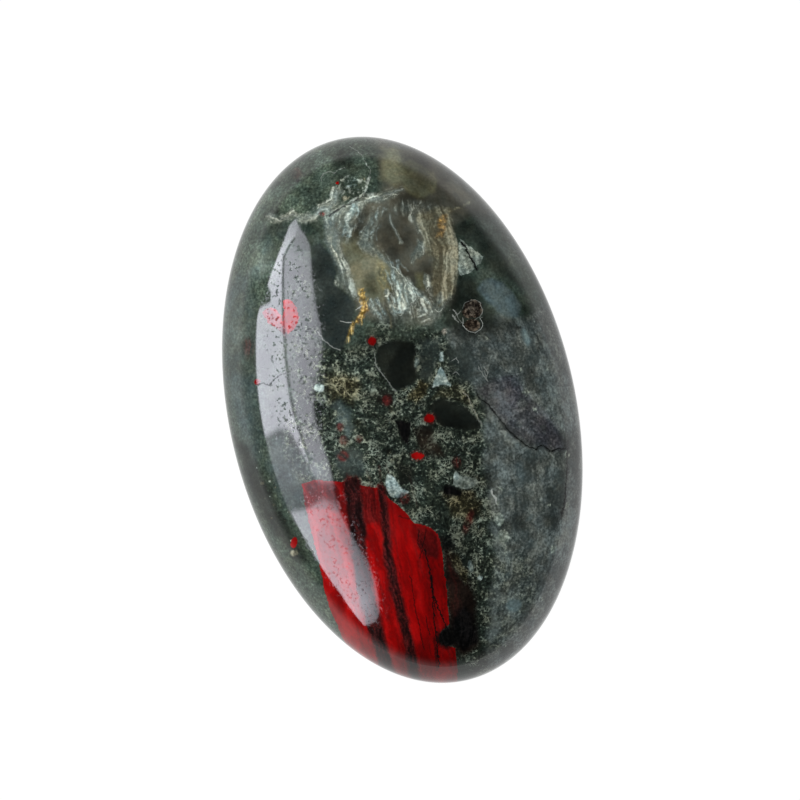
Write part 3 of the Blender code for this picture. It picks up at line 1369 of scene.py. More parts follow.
class LeftClasts:
    """The slate clast, the heart, the dull reds and the cracks at the left."""

    slate = trace(312, 246, 320, 242, 330, 254, 337, 272, 334, 284, 348, 296, 355, 304, 352, 318, 348, 333,
        343, 347, 337, 351, 328, 347, 320, 336, 314, 316, 310, 290)
    heart_right = trace(283, 300, 290, 299, 297, 307, 299, 318, 295, 329, 288, 334, 284, 325)
    heart_left = trace(262, 313, 268, 308, 276, 309, 282, 320, 286, 334, 278, 329, 268, 322)
    heart_seam = trace(269, 310, 275, 318, 281, 327, 287, 337)
    left_crack = trace(258, 385, 264, 383, 268, 386, 272, 381, 280, 374, 290, 373)
    veil = trace(290, 262, 304, 270, 312, 300, 320, 340, 316, 384, 304, 410, 296, 384, 292, 340, 286, 300)
    slate_edge = trace(317, 331, 323, 339, 332, 347, 340, 350)
    slate_blue = trace(268, 446, 282, 438, 300, 452, 302, 478, 302, 512, 290, 514, 280, 494, 268, 470)
    pale_patch = trace(300, 452, 308, 450, 322, 464, 332, 480, 318, 482, 304, 474)
    dark_edge = trace(234, 436, 248, 446, 262, 472, 280, 508, 298, 540, 308, 562, 294, 560, 268, 526,
        246, 484)
    speckled = trace(256, 450, 280, 466, 302, 512, 314, 554, 298, 558, 270, 520, 254, 480)
    smooth_side = trace(224, 290, 248, 272, 256, 330, 257, 400, 264, 450, 250, 470, 226, 380)
    olive_side = trace(230, 300, 246, 290, 252, 330, 254, 372, 240, 376, 228, 340)

    def markings(self) -> list[Marking]:
        """What lies in this part of the stone.

        Returns:
            The markings, in the order they are laid.
        """
        return [
            Mottle(trace(230, 220, 300, 220, 300, 560, 340, 640, 260, 560), 20, 0.45, seed=54),
            Patch(M.TEAL, self.smooth_side, soft=9, ragged=4, grain=14, strength=0.7),
            Patch(M.OLIVE, self.olive_side, soft=8, strength=0.3),
            Patch(M.SLATE, self.slate, soft=2.2, grain=12),
            Patch(M.BRECCIA, self.veil, soft=6, strength=0.8, patchy=0.3),
            Patch(M.JASPER, self.heart_right, soft=1.5),
            Patch(M.JASPER, self.heart_left, soft=2.5),
            Vein(M.MAROON, self.heart_seam, 1.8, 1.2, soft=1.4),
            Spot(M.MAROON, (248, 347), 6, 8, soft=4, ragged=2, strength=0.6),
            Spot(M.JASPER, (249, 348), 4, 6, soft=4, ragged=2, strength=0.3),
            Spot(M.JASPER, (257, 382), 3.5, soft=2, strength=0.85),
            Patch(M.TEAL, self.slate_blue, soft=6, strength=0.6),
            Patch(M.TEAL, self.pale_patch, soft=5, strength=0.6),
            Shade((318, 470), 12, 12, 0.7),
            Patch(M.BLACK, self.dark_edge, soft=5, strength=0.85),
            Chips([M.SAGE, M.TAN, M.BLACK, M.SAGE], self.speckled, 170, 0.7, 2.0, strength=0.8, seed=53),
            Spot(M.JASPER, (294, 543), 3.2, 5.5, 10, soft=1.4, ragged=1.5),
            Spot(M.TAN, (294, 553), 4, 3, soft=1.5, strength=0.8),
            Hairline(self.left_crack, 0.6, cut=True, wander=1.8, patchy=0.4),
            Hairline(self.slate_edge, 0.5, pale=True, strength=0.4),
        ]


class Middle:
    """The broken and healed middle: clasts, grains and small bright spots."""

    area = trace(306, 350, 346, 352, 380, 330, 440, 336, 456, 372, 478, 402, 484, 440, 486, 500, 492, 560,
        488, 620, 480, 640, 474, 590, 458, 560, 442, 534, 412, 520, 404, 502, 386, 494, 340, 482, 312, 470,
        306, 420)
    white_vein = trace(491, 489, 493, 495, 496, 499, 497, 504)
    ochre_zone = trace(326, 376, 340, 372, 356, 378, 362, 392, 352, 404, 330, 402)
    ochre_low = trace(444, 494, 456, 490, 470, 490, 482, 500, 480, 516, 466, 522, 450, 514)
    near_black = trace(377, 346, 392, 340, 414, 342, 417, 351, 414, 362, 418, 372, 415, 382, 401, 390,
        393, 388, 385, 376, 377, 362)
    pale_line = trace(374, 352, 376, 366, 385, 377, 396, 392)
    green_bar = trace(420, 340, 440, 338, 440, 352, 430, 380, 420, 378, 418, 356)
    white_triangle = trace(440.5, 366, 444, 370, 448, 380, 451, 386, 442, 384.5, 433, 387, 435, 378)
    triangle_tip = trace(439.5, 352, 443.5, 352, 443.5, 361, 440, 361)
    slate_right = trace(444, 346, 468, 346, 476, 366, 474, 380, 460, 382, 450, 372)
    tan_grains = trace(405, 398, 412, 390, 420, 380, 427, 384, 427, 394, 416, 402)
    brown_band = trace(431, 400, 440, 388, 456, 384, 468, 394, 470, 404, 452, 400, 440, 396)
    wedge = trace(429.5, 406, 435, 400, 444, 398.5, 455, 402, 467, 408, 477, 417, 482, 429, 472, 430,
        455, 428, 442, 426, 436, 422)
    wedge_edge = trace(464, 392, 469, 397, 472, 407, 477, 415, 482, 425)
    tall_black = trace(395, 421, 402, 420, 411, 422, 411, 432, 408, 446, 402, 440)
    brown_clast = trace(413, 430, 421, 424, 432, 428, 436, 441, 446, 456, 434, 458, 420, 450)
    sage_clast = trace(452.5, 484, 454, 470, 460, 475, 476, 478, 480, 484, 468, 489, 460, 488)
    low_black = trace(444, 484, 452, 485, 463, 491, 460, 497, 450, 496, 443, 494)
    ice_clast = trace(385, 481, 388, 474, 394, 478, 400, 488, 408, 492, 401, 497, 392, 498, 387, 490)
    black_above_ice = trace(396, 462, 412, 466, 414, 480, 402, 484)
    teal_grains = trace(331, 402, 340, 398, 350, 410, 353, 430, 348, 438, 338, 424)
    smooth_low = trace(336, 452, 352, 448, 366, 456, 364, 474, 346, 480, 336, 468)
    umber_side = trace(442, 536, 448, 548, 460, 564, 473, 586, 477, 606, 475, 627, 479, 646, 463, 656,
        444, 642, 449, 632, 447, 600, 445, 575)
    deep_black = trace(452, 618, 464, 604, 476, 618, 478, 644, 462, 654, 448, 640)
    black_by_red = trace(441, 536, 450, 534, 456, 546, 450, 551, 443, 548)
    fibre_patch = trace(448, 552, 458, 556, 468, 572, 466, 582, 456, 572)
    fibre_guide = trace(448, 548, 458, 564, 468, 586)
    pale_specks = trace(390, 405, 415, 404, 440, 430, 482, 436, 486, 500, 470, 560, 440, 520, 400, 490,
        370, 440)

    def markings(self) -> list[Marking]:
        """What lies in this part of the stone.

        Returns:
            The markings, in the order they are laid.
        """
        fragments = [M.MIST, M.BLACK, M.MOSS, M.SLATE, M.BLACK, M.INK, M.UMBER, M.TEAL, M.OCHRE]
        return [
            Mottle(self.area, 22, 0.6, seed=60),
            Shade((452, 530), 40, 60, -0.35),
            Shade((412, 440), 44, 70, -0.3),
            Shade((364, 346), 22, 18, -0.6),
            Shade((476, 480), 16, 50, -0.35),
            Hairline(self.white_vein, 0.8, pale=True, strength=0.8),
            Patch(M.OCHRE, self.ochre_zone, soft=6, strength=0.65),
            Patch(M.OCHRE, self.ochre_low, soft=5, strength=0.7),
            Chips(fragments, self.area, 420, 1.2, 5.0, strength=0.5, seed=61),
            Chips([M.ICE, M.SAGE, M.TAN], self.pale_specks, 90, 0.6, 1.2, strength=0.75, seed=76),
            Patch(M.BLACK, self.near_black, soft=1.8),
            Hairline(self.pale_line, 0.5, pale=True, strength=0.3, patchy=0.3),
            Patch(M.SLATE, self.green_bar, strength=0.8),
            Patch(M.SLATE, self.slate_right, strength=0.85),
            Patch(M.ICE, self.white_triangle, soft=0.9, ragged=1.2),
            Patch(M.ICE, self.triangle_tip, soft=1.2, ragged=0.5, strength=0.8),
            Spot(M.ICE, (416.5, 363), 2.2, 5.0, 10, soft=2, strength=0.5),
            Patch(M.OCHRE, self.tan_grains, soft=3, ragged=3, strength=0.8),
            Patch(M.OCHRE, self.brown_band, soft=3, strength=0.5),
            Patch(M.BLACK, self.wedge, soft=1.0),
            Vein(M.TAN, self.wedge_edge, 1.2, 0.5, strength=0.75, patchy=0.2),
            Hairline(self.wedge_edge, 0.5, pale=True, strength=0.3, patchy=0.5),
            Patch(M.INK, self.tall_black, soft=1.0),
            Patch(M.UMBER, self.brown_clast, soft=2.5, strength=0.7),
            Patch(M.SAGE, self.sage_clast, soft=1.0, ragged=1.2),
            Spot(M.ICE, (456.5, 476), 3, 4, strength=0.7),
            Patch(M.INK, self.low_black, soft=1.0, ragged=1),
            Patch(M.BLACK, self.black_above_ice, soft=3, strength=0.85),
            Patch(M.ICE, self.ice_clast, soft=1.0, ragged=1.4),
            Patch(M.TEAL, self.teal_grains, ragged=4, strength=0.75),
            Shade((342, 418), 9, 18, 0.5),
            Chips([M.ICE, M.SAGE], self.teal_grains, 60, 0.5, 1.1, strength=0.5, seed=79),
            Spot(M.ICE, (319, 388), 5, 3.8, 30, ragged=1.4),
            Patch(M.SLATE, self.smooth_low, strength=0.85),
            Shade((350, 464), 16, 14, 0.5),
            Patch(M.UMBER, self.umber_side),
            Shade((464, 596), 18, 52, -0.9, -6),
            Spot(M.MAROON, (454, 590), 5, 34, -6, soft=5, ragged=2, strength=0.3),
            Patch(M.INK, self.deep_black, soft=6),
            Patch(M.INK, self.black_by_red, soft=3, strength=0.85),
            Patch(M.OCHRE, self.fibre_patch, soft=2.5, ragged=2.5, strength=0.75, guide=self.fibre_guide),
            Chips([M.TAN, M.SAGE, M.OLIVE], trace(466, 560, 482, 590, 494, 625, 482, 640, 474, 600), 60,
                0.7, 1.8, strength=0.75, seed=70),
            Spot(M.ICE, (480, 577.7), 2.6, 2.2, soft=0.8, ragged=0.3),
            Spot(M.ICE, (470.5, 566), 2.8, 5.5, -15, soft=1.4, strength=0.5),
        ] + self.reds()

    def reds(self) -> list[Marking]:
        """The red grains, the bright ones and the dull ones.

        Returns:
            The markings, in the order they are laid.
        """
        bright = [((372, 341), 4.2, 4.2), ((429.5, 418.5), 5.2, 4.4), ((417, 455.6), 6.5, 4.0)]
        dull = [((387, 400), 3.5, 4.0), ((404, 498), 4.8, 4.6), ((456, 462), 3.2, 4.0),
                ((468, 522), 2.8, 9.5), ((340, 427), 2.8, 3.0), ((344, 440), 3.6, 3.2),
                ((359, 439), 2.6, 2.4), ((343, 456), 4.2, 4.0)]
        made: list[Marking] = [Spot(M.UMBER, (386, 397), 8, 8, soft=5, ragged=2, strength=0.6)]
        for centre, across, down in bright:
            made.append(Spot(M.MAROON, centre, across + 1, down + 1, soft=1.4))
            made.append(Spot(M.JASPER, centre, across, down))
        for centre, across, down in dull:
            turn = 20.0 if down > 2 * across else 0.0
            made.append(Spot(M.MAROON, centre, across + 1, down + 1, turn, soft=1.8, strength=0.8))
            made.append(Spot(M.JASPER, centre, 0.8 * across, 0.8 * down, turn, soft=1.8, strength=0.35))
        made.append(Spot(M.RUST, (417, 455.6), 6, 3.6, soft=1.5, strength=0.35))
        return made


class RightHalf:
    """The grey misty half: its dark purple clast, cracks and pale grains."""

    purple = trace(478, 390, 490, 382, 506, 374, 520, 384, 534, 400, 552, 418, 564, 440, 567, 449, 554, 451,
        540, 446, 527, 445, 513, 435, 499, 418, 488, 405)
    purple_heart = trace(504, 378, 516, 376, 522, 392, 520, 408, 508, 404)
    purple_low = trace(534, 420, 548, 418, 560, 434, 562, 448, 546, 446, 536, 436)
    crack = trace(477, 394, 482, 400, 488.5, 405, 497, 415.5, 505.5, 427, 515, 437, 526, 445, 536, 449.5,
        541, 445, 546, 447, 550, 451, 559, 449, 567, 449)
    crack_head = trace(466, 378, 472, 384, 478, 396)
    crack_guide = trace(470, 380, 500, 416, 540, 450)
    side_line = trace(568, 440, 567, 470, 565, 498, 561, 520)
    side_line_top = trace(536, 314, 548, 340, 559, 368, 565, 399, 567, 428, 567, 446)
    curls = [trace(452, 361, 456, 358, 459, 363), trace(453, 374, 456, 371, 459, 375),
             trace(478, 366, 483, 374, 488, 382), trace(484, 366, 488, 372, 486, 380)]
    mist_area = trace(476, 330, 540, 320, 572, 400, 578, 460, 570, 540, 540, 620, 500, 660, 490, 600,
        492, 500, 484, 420)
    granular = trace(486, 470, 500, 520, 530, 560, 540, 590, 500, 655, 478, 640, 486, 600, 470, 560,
        470, 520)

    def markings(self) -> list[Marking]:
        """What lies in this part of the stone.

        Returns:
            The markings, in the order they are laid.
        """
        pale = [((499, 519), 5, 7), ((503.5, 536.5), 6, 6.5)]
        smooth = [((525.5, 337), 4, 9), ((514, 605), 8, 7)]
        grains = [((553, 549), 2.6, 4, 1.0), ((509, 641), 4, 9, 0.30), ((537, 407), 5, 6, 0.40),
                  ((549, 505), 1.2, 1.2, 1.0), ((532, 571), 1.1, 2.2, 0.9), ((521, 369), 0.9, 2.4, 0.8),
                  ((552, 418), 1.2, 1.2, 0.8), ((567, 505), 1.6, 3, 0.8), ((497, 503), 2, 2, 0.8)]
        dark = [((552, 522), 9, 8), ((520, 522), 6, 8), ((518, 550), 8, 7), ((490, 478), 4, 6)]
        return [
            Mottle(self.mist_area, 26, 0.6, seed=80),
            Mottle(self.mist_area, 8, 0.45, seed=81),
            Shade((524, 440), 34, 90, 0.2),
            Wear(self.mist_area, 0.0),
            Patch(M.PURPLE, self.purple, soft=5, grain=12, strength=0.75, guide=self.crack_guide),
            Patch(M.PURPLE, self.purple_heart),
            Patch(M.PURPLE, self.purple_low),
            Shade((513, 391), 12, 18, -0.3, 10),
            Shade((549, 434), 16, 14, -0.3, 40),
            Chips([M.SAGE, M.SLATE, M.TEAL, M.MIST], self.mist_area, 260, 1.6, 9.0, strength=0.48,
                seed=85),
            Patch(M.BRECCIA, self.granular, soft=8, grain=10, strength=0.5, patchy=0.5),
            *[Hairline(line, 0.4, pale=True, strength=0.35) for line in self.curls],
            *[Spot(M.SAGE, centre, across, down, 10, strength=strength)
                for centre, across, down, strength in grains],
            *[Spot(M.TEAL, centre, across, down, -20, soft=1.6) for centre, across, down in smooth],
            *[Shade(centre, 1.2 * across, 1.2 * down, 1.5, -20) for centre, across, down in smooth],
            *[Spot(M.SAGE, centre, across, down, -20, ragged=0.5) for centre, across, down in pale],
            *[Spot(M.BLACK, centre, across, down, soft=4, ragged=2, strength=0.4)
                for centre, across, down in dark],
            Vein(M.INK, self.crack_head, 1.2, 0.7, strength=0.7),
            Vein(M.BLACK, self.crack, 1.4, soft=1.6, wander=1.4, strength=0.4),
            Hairline(self.crack, 0.7, wander=1.4, patchy=0.3),
            Hairline(self.side_line, 0.8, strength=0.85, patchy=0.2),
            Vein(M.BLACK, self.side_line_top, 0.8, soft=1.4, wander=1.4, strength=0.45, patchy=0.3),
        ]


class RedPatch:
    """The red jasper with its black streaks."""

    red = trace(302, 484, 314, 480, 338, 481, 361, 485, 378, 488, 388, 498, 400, 507, 408, 515, 414, 523,
        428, 527, 438.5, 535, 441, 547, 443.6, 566, 446, 585, 447.4, 598, 448, 611, 449.4, 624, 441, 631,
        440, 642, 455, 648, 457, 662, 458, 705, 352, 705, 347, 650, 338, 626, 330, 609, 324, 588, 319, 562,
        313, 537, 306, 511)
    top = trace(303, 484, 318, 480, 338, 482, 343, 500, 344, 512, 330, 510, 306, 508)
    veiled = trace(361, 485, 373, 486, 377, 505, 378, 522, 366, 524, 362, 504)
    dull_shoulder = trace(416, 526, 426, 527, 437, 535, 440, 548, 438, 560, 428, 556, 418, 546)
    streak_one = trace(352, 484, 356, 515, 359, 547, 365, 588, 374, 624, 380, 645, 392, 690)
    streak_two = trace(381, 488, 385, 520, 388, 554, 395, 590, 403, 618, 409, 645, 418, 690)
    line_one = trace(424, 548, 429, 566, 432, 585, 433, 600, 434, 620, 437, 640, 439, 668)
    line_one_wide = trace(431.4, 577, 432.4, 588, 433, 598)
    line_two = trace(433, 594, 438.5, 608.5, 443.6, 620, 449, 632)
    lines = [trace(419, 530, 418, 541, 422, 552, 419, 558), trace(426, 528, 424, 540, 420, 552),
             trace(425, 616, 428, 626, 430, 636), trace(410, 575, 414, 600, 420, 630, 424, 650),
             trace(398, 516, 408, 519, 416, 519)]
    foot_line = trace(434, 638, 436, 652, 437, 670)
    grain_guide = trace(362, 470, 374, 520, 390, 570, 402, 620, 416, 690)

    def markings(self) -> list[Marking]:
        """What lies in this part of the stone.

        Returns:
            The markings, in the order they are laid.
        """
        return [
            Patch(M.JASPER, self.red, soft=0.9, ragged=1.2, guide=self.grain_guide),
            Patch(M.MAROON, self.top, soft=3, strength=0.7),
            Patch(M.MAROON, self.veiled, soft=3, strength=0.75),
            Patch(M.MAROON, self.dull_shoulder, soft=3, strength=0.75),
            Fibres(M.MAROON, self.grain_guide, 46, 60, 40, width=0.8, wave=0.6, strength=0.35, seed=94),
            Vein(M.MAROON, self.streak_two, 4.6, 5.8, soft=2.2, wander=2, grain=8),
            Vein(M.INK, self.streak_two, 2.2, 3.6, soft=2.4, wander=2, strength=0.75, patchy=0.8),
            Vein(M.MAROON, self.streak_one, 8.8, 7.2, soft=2, wander=2, grain=9),
            Vein(M.INK, self.streak_one, 7.4, 5.8, soft=2.4, wander=2, grain=9, strength=0.8, patchy=0.3),
            Fibres(M.JASPER, self.streak_one, 9, 16, 26, width=0.3, wave=0.5, strength=0.35, seed=98),
            Fibres(M.INK, self.streak_two, 12, 46, 30, width=0.4, wave=0.6, strength=0.5, seed=95),
            Fibres(M.INK, trace(426, 540, 434, 590, 440, 660), 12, 26, 22, width=0.3, wave=0.6,
                strength=0.5, seed=97),
            Vein(M.INK, self.line_one_wide, 1.2, 0.6, wander=0.3),
            Hairline(self.line_one, 0.8, wander=0.6),
            Hairline(self.line_two, 0.8, wander=0.6),
            *[Hairline(line, 0.6, strength=0.75, patchy=0.2) for line in self.lines],
            Vein(M.INK, self.foot_line, 1.4, strength=0.85, patchy=0.3),
            Shade((400, 545), 18, 30, 0.25),
            Shade((392, 502), 15, 13, -0.6),
            Shade((434, 596), 9, 46, -0.8, -6),
            Shade((425, 664), 50, 20, -1.1),
            Spot(M.INK, (446, 638), 9, 11, soft=2.5, ragged=1.5),
        ]


class Polish:
    """Flaws in the polish, which show where it mirrors the window, with painted shade in its pits and painted
    light and dark mottle where it mirrors the window.
    """

    upper = trace(276, 262, 300, 236, 320, 300, 322, 400, 318, 476, 290, 480, 272, 400, 264, 320)
    dense = trace(300, 330, 320, 336, 324, 400, 306, 404)
    lower = trace(302, 490, 340, 492, 376, 560, 384, 610, 370, 622, 332, 584)
    pit_line = trace(302, 537, 308, 541, 306, 546, 312, 551, 316, 560)

    def markings(self) -> list[Marking]:
        """Where the polish is flawed, with painted shade and painted mottle.

        Returns:
            The markings, in the order they are laid.
        """
        return [
            # The pits and the pitted line are cut as grooves with a duller gloss and painted dark; the ink
            # spot is the largest pit, only painted dark. Their dark is painted shade.
            Pits(self.upper, 36, 0.6, 3.0, 0.4, seed=101),
            Pits(self.dense, 36, 0.6, 2.2, 0.4, seed=102),
            Pits(self.lower, 16, 0.5, 1.4, 0.4, seed=103),
            Spot(M.INK, (357.6, 589), 1.8, 1.6, soft=0.8, ragged=0.5, strength=0.7),
            Hairline(self.pit_line, 0.6, cut=True, patchy=0.4),
            Wear(self.upper, 1.0),
            Wear(self.lower, 0.55),
            # Painted light and dark mottle in the colour where the polish mirrors the window: partly the
            # stone's grain, partly painted unevenness of the reflection.
            Mottle(self.upper, 3.5, 0.7, soft=5, seed=104),
            Mottle(self.dense, 3.5, 1.4, soft=5, seed=105),
            Mottle(self.lower, 3.0, 0.5, soft=5, seed=106),
        ]


class Edge(Enum):
    """How a mineral's edge breaks up."""

    SOFT = "fades"
    CRISP = "grainy"
    COMBED = "fibrous"


@dataclass(frozen=True)
class Look:
    """A mineral's dark, middle and light tones, its texture, its edge and how smooth it is."""

    dark: Colour
    middle: Colour
    light: Colour
    texture: str
    edge: Edge = Edge.SOFT
    calm: float = 0.0


@dataclass(frozen=True)
class StoneFinish:
    """Polished bloodstone: what each mineral looks like under one high gloss."""

    roughness: float = 0.045
    pit_roughness: float = 0.5
    groove_roughness: float = 0.5
    ior: float = 1.54
    fibre_scales: Colour = (300.0, 4000.0, 900.0)
    strand_scales: Colour = (170.0, 1250.0, 420.0)
    fibre_bend: float = 0.0011
    piece_bend: float = 0.00045
    hair_shake: float = 5.0
    dark_line: Colour = (0.002, 0.002, 0.002)
    pale_line: Colour = (0.42, 0.45, 0.42)
    hair_edge: Point = (1.4, 0.6)
    crisp_edge: Point = (0.9, 0.12)
    combed_edge: Point = (0.22, 0.42)
    edge_middle: float = 0.48
    edge_from: float = 0.4
    finest: tuple[tuple[str, float], ...] = (("fine", 2.4), ("rough grain", 0.8))
    cast_scale: float = 900.0
    cool: Colour = (0.95, 1.00, 1.02)
    warm: Colour = (1.05, 1.00, 0.93)
    ground: Look = Look((0.012, 0.02, 0.015), (0.03, 0.044, 0.034), (0.065, 0.085, 0.068), "cloud")

    def looks(self) -> dict[Mineral, Look]:
        """What each mineral looks like.

        Returns:
            The look of each, in the order they are laid over one another.
        """
        soft, combed, crisp = Edge.SOFT, Edge.COMBED, Edge.CRISP
        return {
            M.MOSS: Look((0.024, 0.036, 0.027), (0.06, 0.082, 0.062), (0.12, 0.165, 0.125),
                         "moss", soft, 0.3),
            M.SMOKE: Look((0.03, 0.03, 0.022), (0.062, 0.062, 0.048), (0.11, 0.11, 0.085),
                          "cloud", soft, 0.7),
            M.OLIVE: Look((0.07, 0.072, 0.04), (0.14, 0.145, 0.09), (0.2, 0.2, 0.13), "cloud", soft, 0.5),
            M.MIST: Look((0.04, 0.05, 0.048), (0.074, 0.088, 0.084), (0.14, 0.165, 0.157),
                         "mist", soft, 0.3),
            M.PURPLE: Look((0.032, 0.034, 0.04), (0.052, 0.054, 0.062), (0.095, 0.098, 0.108), "mist"),
            M.TEAL: Look((0.04, 0.056, 0.058), (0.058, 0.082, 0.085), (0.09, 0.125, 0.13),
                         "cloud", soft, 0.3),
            M.BRECCIA: Look((0.007, 0.01, 0.008), (0.024, 0.034, 0.026), (0.175, 0.204, 0.163),
                            "breccia"),
            M.OCHRE: Look((0.012, 0.01, 0.005), (0.03, 0.026, 0.01), (0.195, 0.166, 0.085), "breccia"),
            M.SLATE: Look((0.014, 0.02, 0.019), (0.024, 0.032, 0.03), (0.04, 0.052, 0.048),
                          "cloud", soft, 0.4),
            M.BLACK: Look((0.004, 0.005, 0.004), (0.008, 0.01, 0.008), (0.016, 0.02, 0.016),
                          "cloud", soft, 0.5),
            M.UMBER: Look((0.006, 0.004, 0.003), (0.012, 0.007, 0.005), (0.03, 0.02, 0.014), "cloud"),
            M.SAGE: Look((0.1, 0.125, 0.108), (0.16, 0.192, 0.168), (0.245, 0.285, 0.25), "grain", crisp),
            M.PLUME: Look((0.1, 0.12, 0.105), (0.185, 0.21, 0.18), (0.52, 0.57, 0.5), "plume", combed,
                          0.3),
            M.ICE: Look((0.15, 0.22, 0.22), (0.27, 0.35, 0.34), (0.42, 0.5, 0.48), "grain", combed, 0.3),
            M.TAN: Look((0.08, 0.076, 0.05), (0.15, 0.147, 0.1), (0.3, 0.295, 0.215), "plume", combed,
                        0.3),
            M.RUST: Look((0.07, 0.03, 0.008), (0.2, 0.1, 0.02), (0.42, 0.24, 0.06), "grain", combed),
            M.GOLD: Look((0.16, 0.1, 0.02), (0.42, 0.27, 0.06), (0.75, 0.58, 0.25), "grain", combed),
            M.JASPER: Look((0.15, 0.001, 0.001), (0.24, 0.001, 0.001), (0.33, 0.003, 0.003),
                           "strand", crisp, 0.8),
            M.MAROON: Look((0.015, 0.003, 0.003), (0.05, 0.005, 0.005), (0.11, 0.01, 0.01),
                           "fibre", soft, 0.5),
            M.INK: Look((0.001, 0.001, 0.001), (0.003, 0.003, 0.003), (0.008, 0.007, 0.007), "fibre"),
            M.METAL: Look((0.006, 0.004, 0.003), (0.03, 0.024, 0.018), (0.11, 0.09, 0.07),
                          "grain", crisp),
            M.PYRITE: Look((0.2, 0.18, 0.14), (0.45, 0.41, 0.34), (0.8, 0.75, 0.66), "grain"),
        }

    def textures(self, graph: Graph) -> dict[str, Socket]:
        """The fine patterns, each a number from 0 to 1 over the stone's own space.

        Args:
            graph: The material's tree.

        Returns:
            The sockets by the texture's name.
        """
        place = graph.add("ShaderNodeTexCoord").outputs["Object"]
        flow = graph.add("ShaderNodeAttribute", attribute_name="flow").outputs["Vector"]

        def moved(vector: Any, by: Any, way: str) -> Socket:
            """A vector after one sum with another."""
            return graph.add("ShaderNodeVectorMath", {0: vector, 1: by}, operation=way).outputs[0]

        def noise(vector: Any, scale: float, detail: float, rough: float = 0.55) -> bpy.types.Node:
            """One noise texture, in features to the metre."""
            feeds = {"Vector": vector, "Scale": scale, "Detail": detail, "Roughness": rough}
            return graph.add("ShaderNodeTexNoise", feeds)

        def bent(vector: Any, scale: float, reach: float) -> Socket:
            """A vector pushed about by noise."""
            push = moved(noise(place, scale, 2).outputs[1], (reach,) * 3, "MULTIPLY")
            return moved(vector, push, "ADD")

        def cells(scale: float) -> Socket:
            """Each fragment's own random number."""
            tints = graph.add("ShaderNodeTexVoronoi", {"Vector": folded, "Scale": scale}).outputs["Color"]
            return graph.add("ShaderNodeSeparateColor", {0: tints}).outputs[0]

        def seams(scale: float) -> Socket:
            """The hairlines between fragments."""
            edge = graph.add("ShaderNodeTexVoronoi", {"Vector": folded, "Scale": scale},
                             feature="DISTANCE_TO_EDGE").outputs["Distance"]
            return graph.spread(edge, 0.11, 0.03)

        def threads(scale: float, width: float) -> Socket:
            """Hairlines that wander, where a noise passes its middle."""
            off = graph.math("SUBTRACT", noise(place, scale, 1).outputs[0], 0.5)
            return graph.spread(graph.math("ABSOLUTE", off), width, 0.0)

        def summed(start: Any, *terms: tuple[Any, float, float]) -> Socket:
            """A number with patterns added to it.

            Args:
                start: The number.
                terms: Each pattern, its middle and its share.

            Returns:
                The sum, kept from 0 to 1.
            """
            total = start
            for pattern, middle, share in terms:
                total = graph.math("MULTIPLY_ADD", graph.math("SUBTRACT", pattern, middle), share, total)
            return graph.math("MAXIMUM", total, 0.0, clamp=True)

        cloud, mottle = noise(place, 420, 4).outputs[0], noise(place, 1100, 3).outputs[0]
        grain, fine = noise(place, 2600, 3, 0.65).outputs[0], noise(place, 5200, 1).outputs[0]
        swept = bent(flow, 650, self.fibre_bend)
        fibre = noise(moved(swept, self.fibre_scales, "MULTIPLY"), 1.0, 2).outputs[0]
        strand = noise(moved(swept, self.strand_scales, "MULTIPLY"), 1.0, 3).outputs[0]
        folded = bent(place, 1500, self.piece_bend)
        large, small, huge, medium = cells(1800), cells(4200), cells(500), cells(1000)
        lines = graph.math("MAXIMUM", threads(2700, 0.05), threads(4600, 0.07))
        lines = graph.math("MAXIMUM", lines, seams(1800))
        web = graph.math("MULTIPLY", lines, graph.spread(mottle, 0.36, 0.64))
        speck = graph.spread(fine, 0.62, 0.72)
        plucked = noise(place, 4400, 1)
        pits = graph.math("MULTIPLY", graph.spread(plucked.outputs[0], 0.44, 0.36),
                          graph.spread(mottle, 0.34, 0.46))
        shake = graph.math("MULTIPLY", graph.math("SUBTRACT", plucked.outputs[0], 0.5), self.hair_shake)
        return {
            "cloud": graph.spread(cloud, 0.30, 0.70),
            "grain": graph.spread(grain, 0.32, 0.68),
            "fibre": graph.spread(summed(fibre, (fine, 0.5, 0.25)), 0.30, 0.72),
            "strand": graph.spread(summed(strand, (fibre, 0.5, 0.25)), 0.30, 0.70),
            "plume": summed(0.38, (strand, 0.5, 3.4), (fibre, 0.5, 2.9), (grain, 0.5, 0.2), (fine, 0.5, 0.6)),
            "fine": fine,
            "rough grain": grain,
            "pits": pits,
            "shake": shake,
            "moss": summed(0.33, (mottle, 0.5, 0.4), (grain, 0.5, 1.0), (fine, 0.5, 0.6), (web, 0.0, 0.25)),
            "mist": summed(0.44, (huge, 0.5, 0.7), (medium, 0.5, 0.45), (mottle, 0.5, 0.8),
                           (strand, 0.5, 1.5), (fibre, 0.5, 1.6), (grain, 0.5, 0.6), (fine, 0.5, 0.7),
                           (web, 0.0, 0.25)),
            "breccia": summed(0.12, (graph.math("POWER", large, 2.0), 0.0, 0.16),
                              (graph.math("POWER", small, 2.0), 0.0, 0.18), (web, 0.0, 0.72),
                              (speck, 0.0, 0.22), (grain, 0.5, 0.75), (fine, 0.5, 0.65)),
        }

    def shown(self, graph: Graph, amount: Any, edge: Edge, textures: dict[str, Any]) -> Socket:
        """How much of a mineral shows, with its edge broken up in the mineral's own way.

        Args:
            graph: The material's tree.
            amount: How much of the mineral lies there.
            edge: How its edge breaks up.
            textures: The fine patterns.

        Returns:
            The socket.
        """
        if edge is Edge.SOFT:
            return amount
        crisp = edge is Edge.CRISP
        depth, half = self.crisp_edge if crisp else self.combed_edge
        pattern = textures["rough grain" if crisp else "fibre"]
        broken = graph.math("MULTIPLY", graph.math("SUBTRACT", pattern, 0.5), depth)
        broken = graph.math("MULTIPLY", broken, graph.spread(amount, 0.0, self.edge_from))
        middle = self.edge_middle
        return graph.spread(graph.math("ADD", amount, broken), middle - half, middle + half)

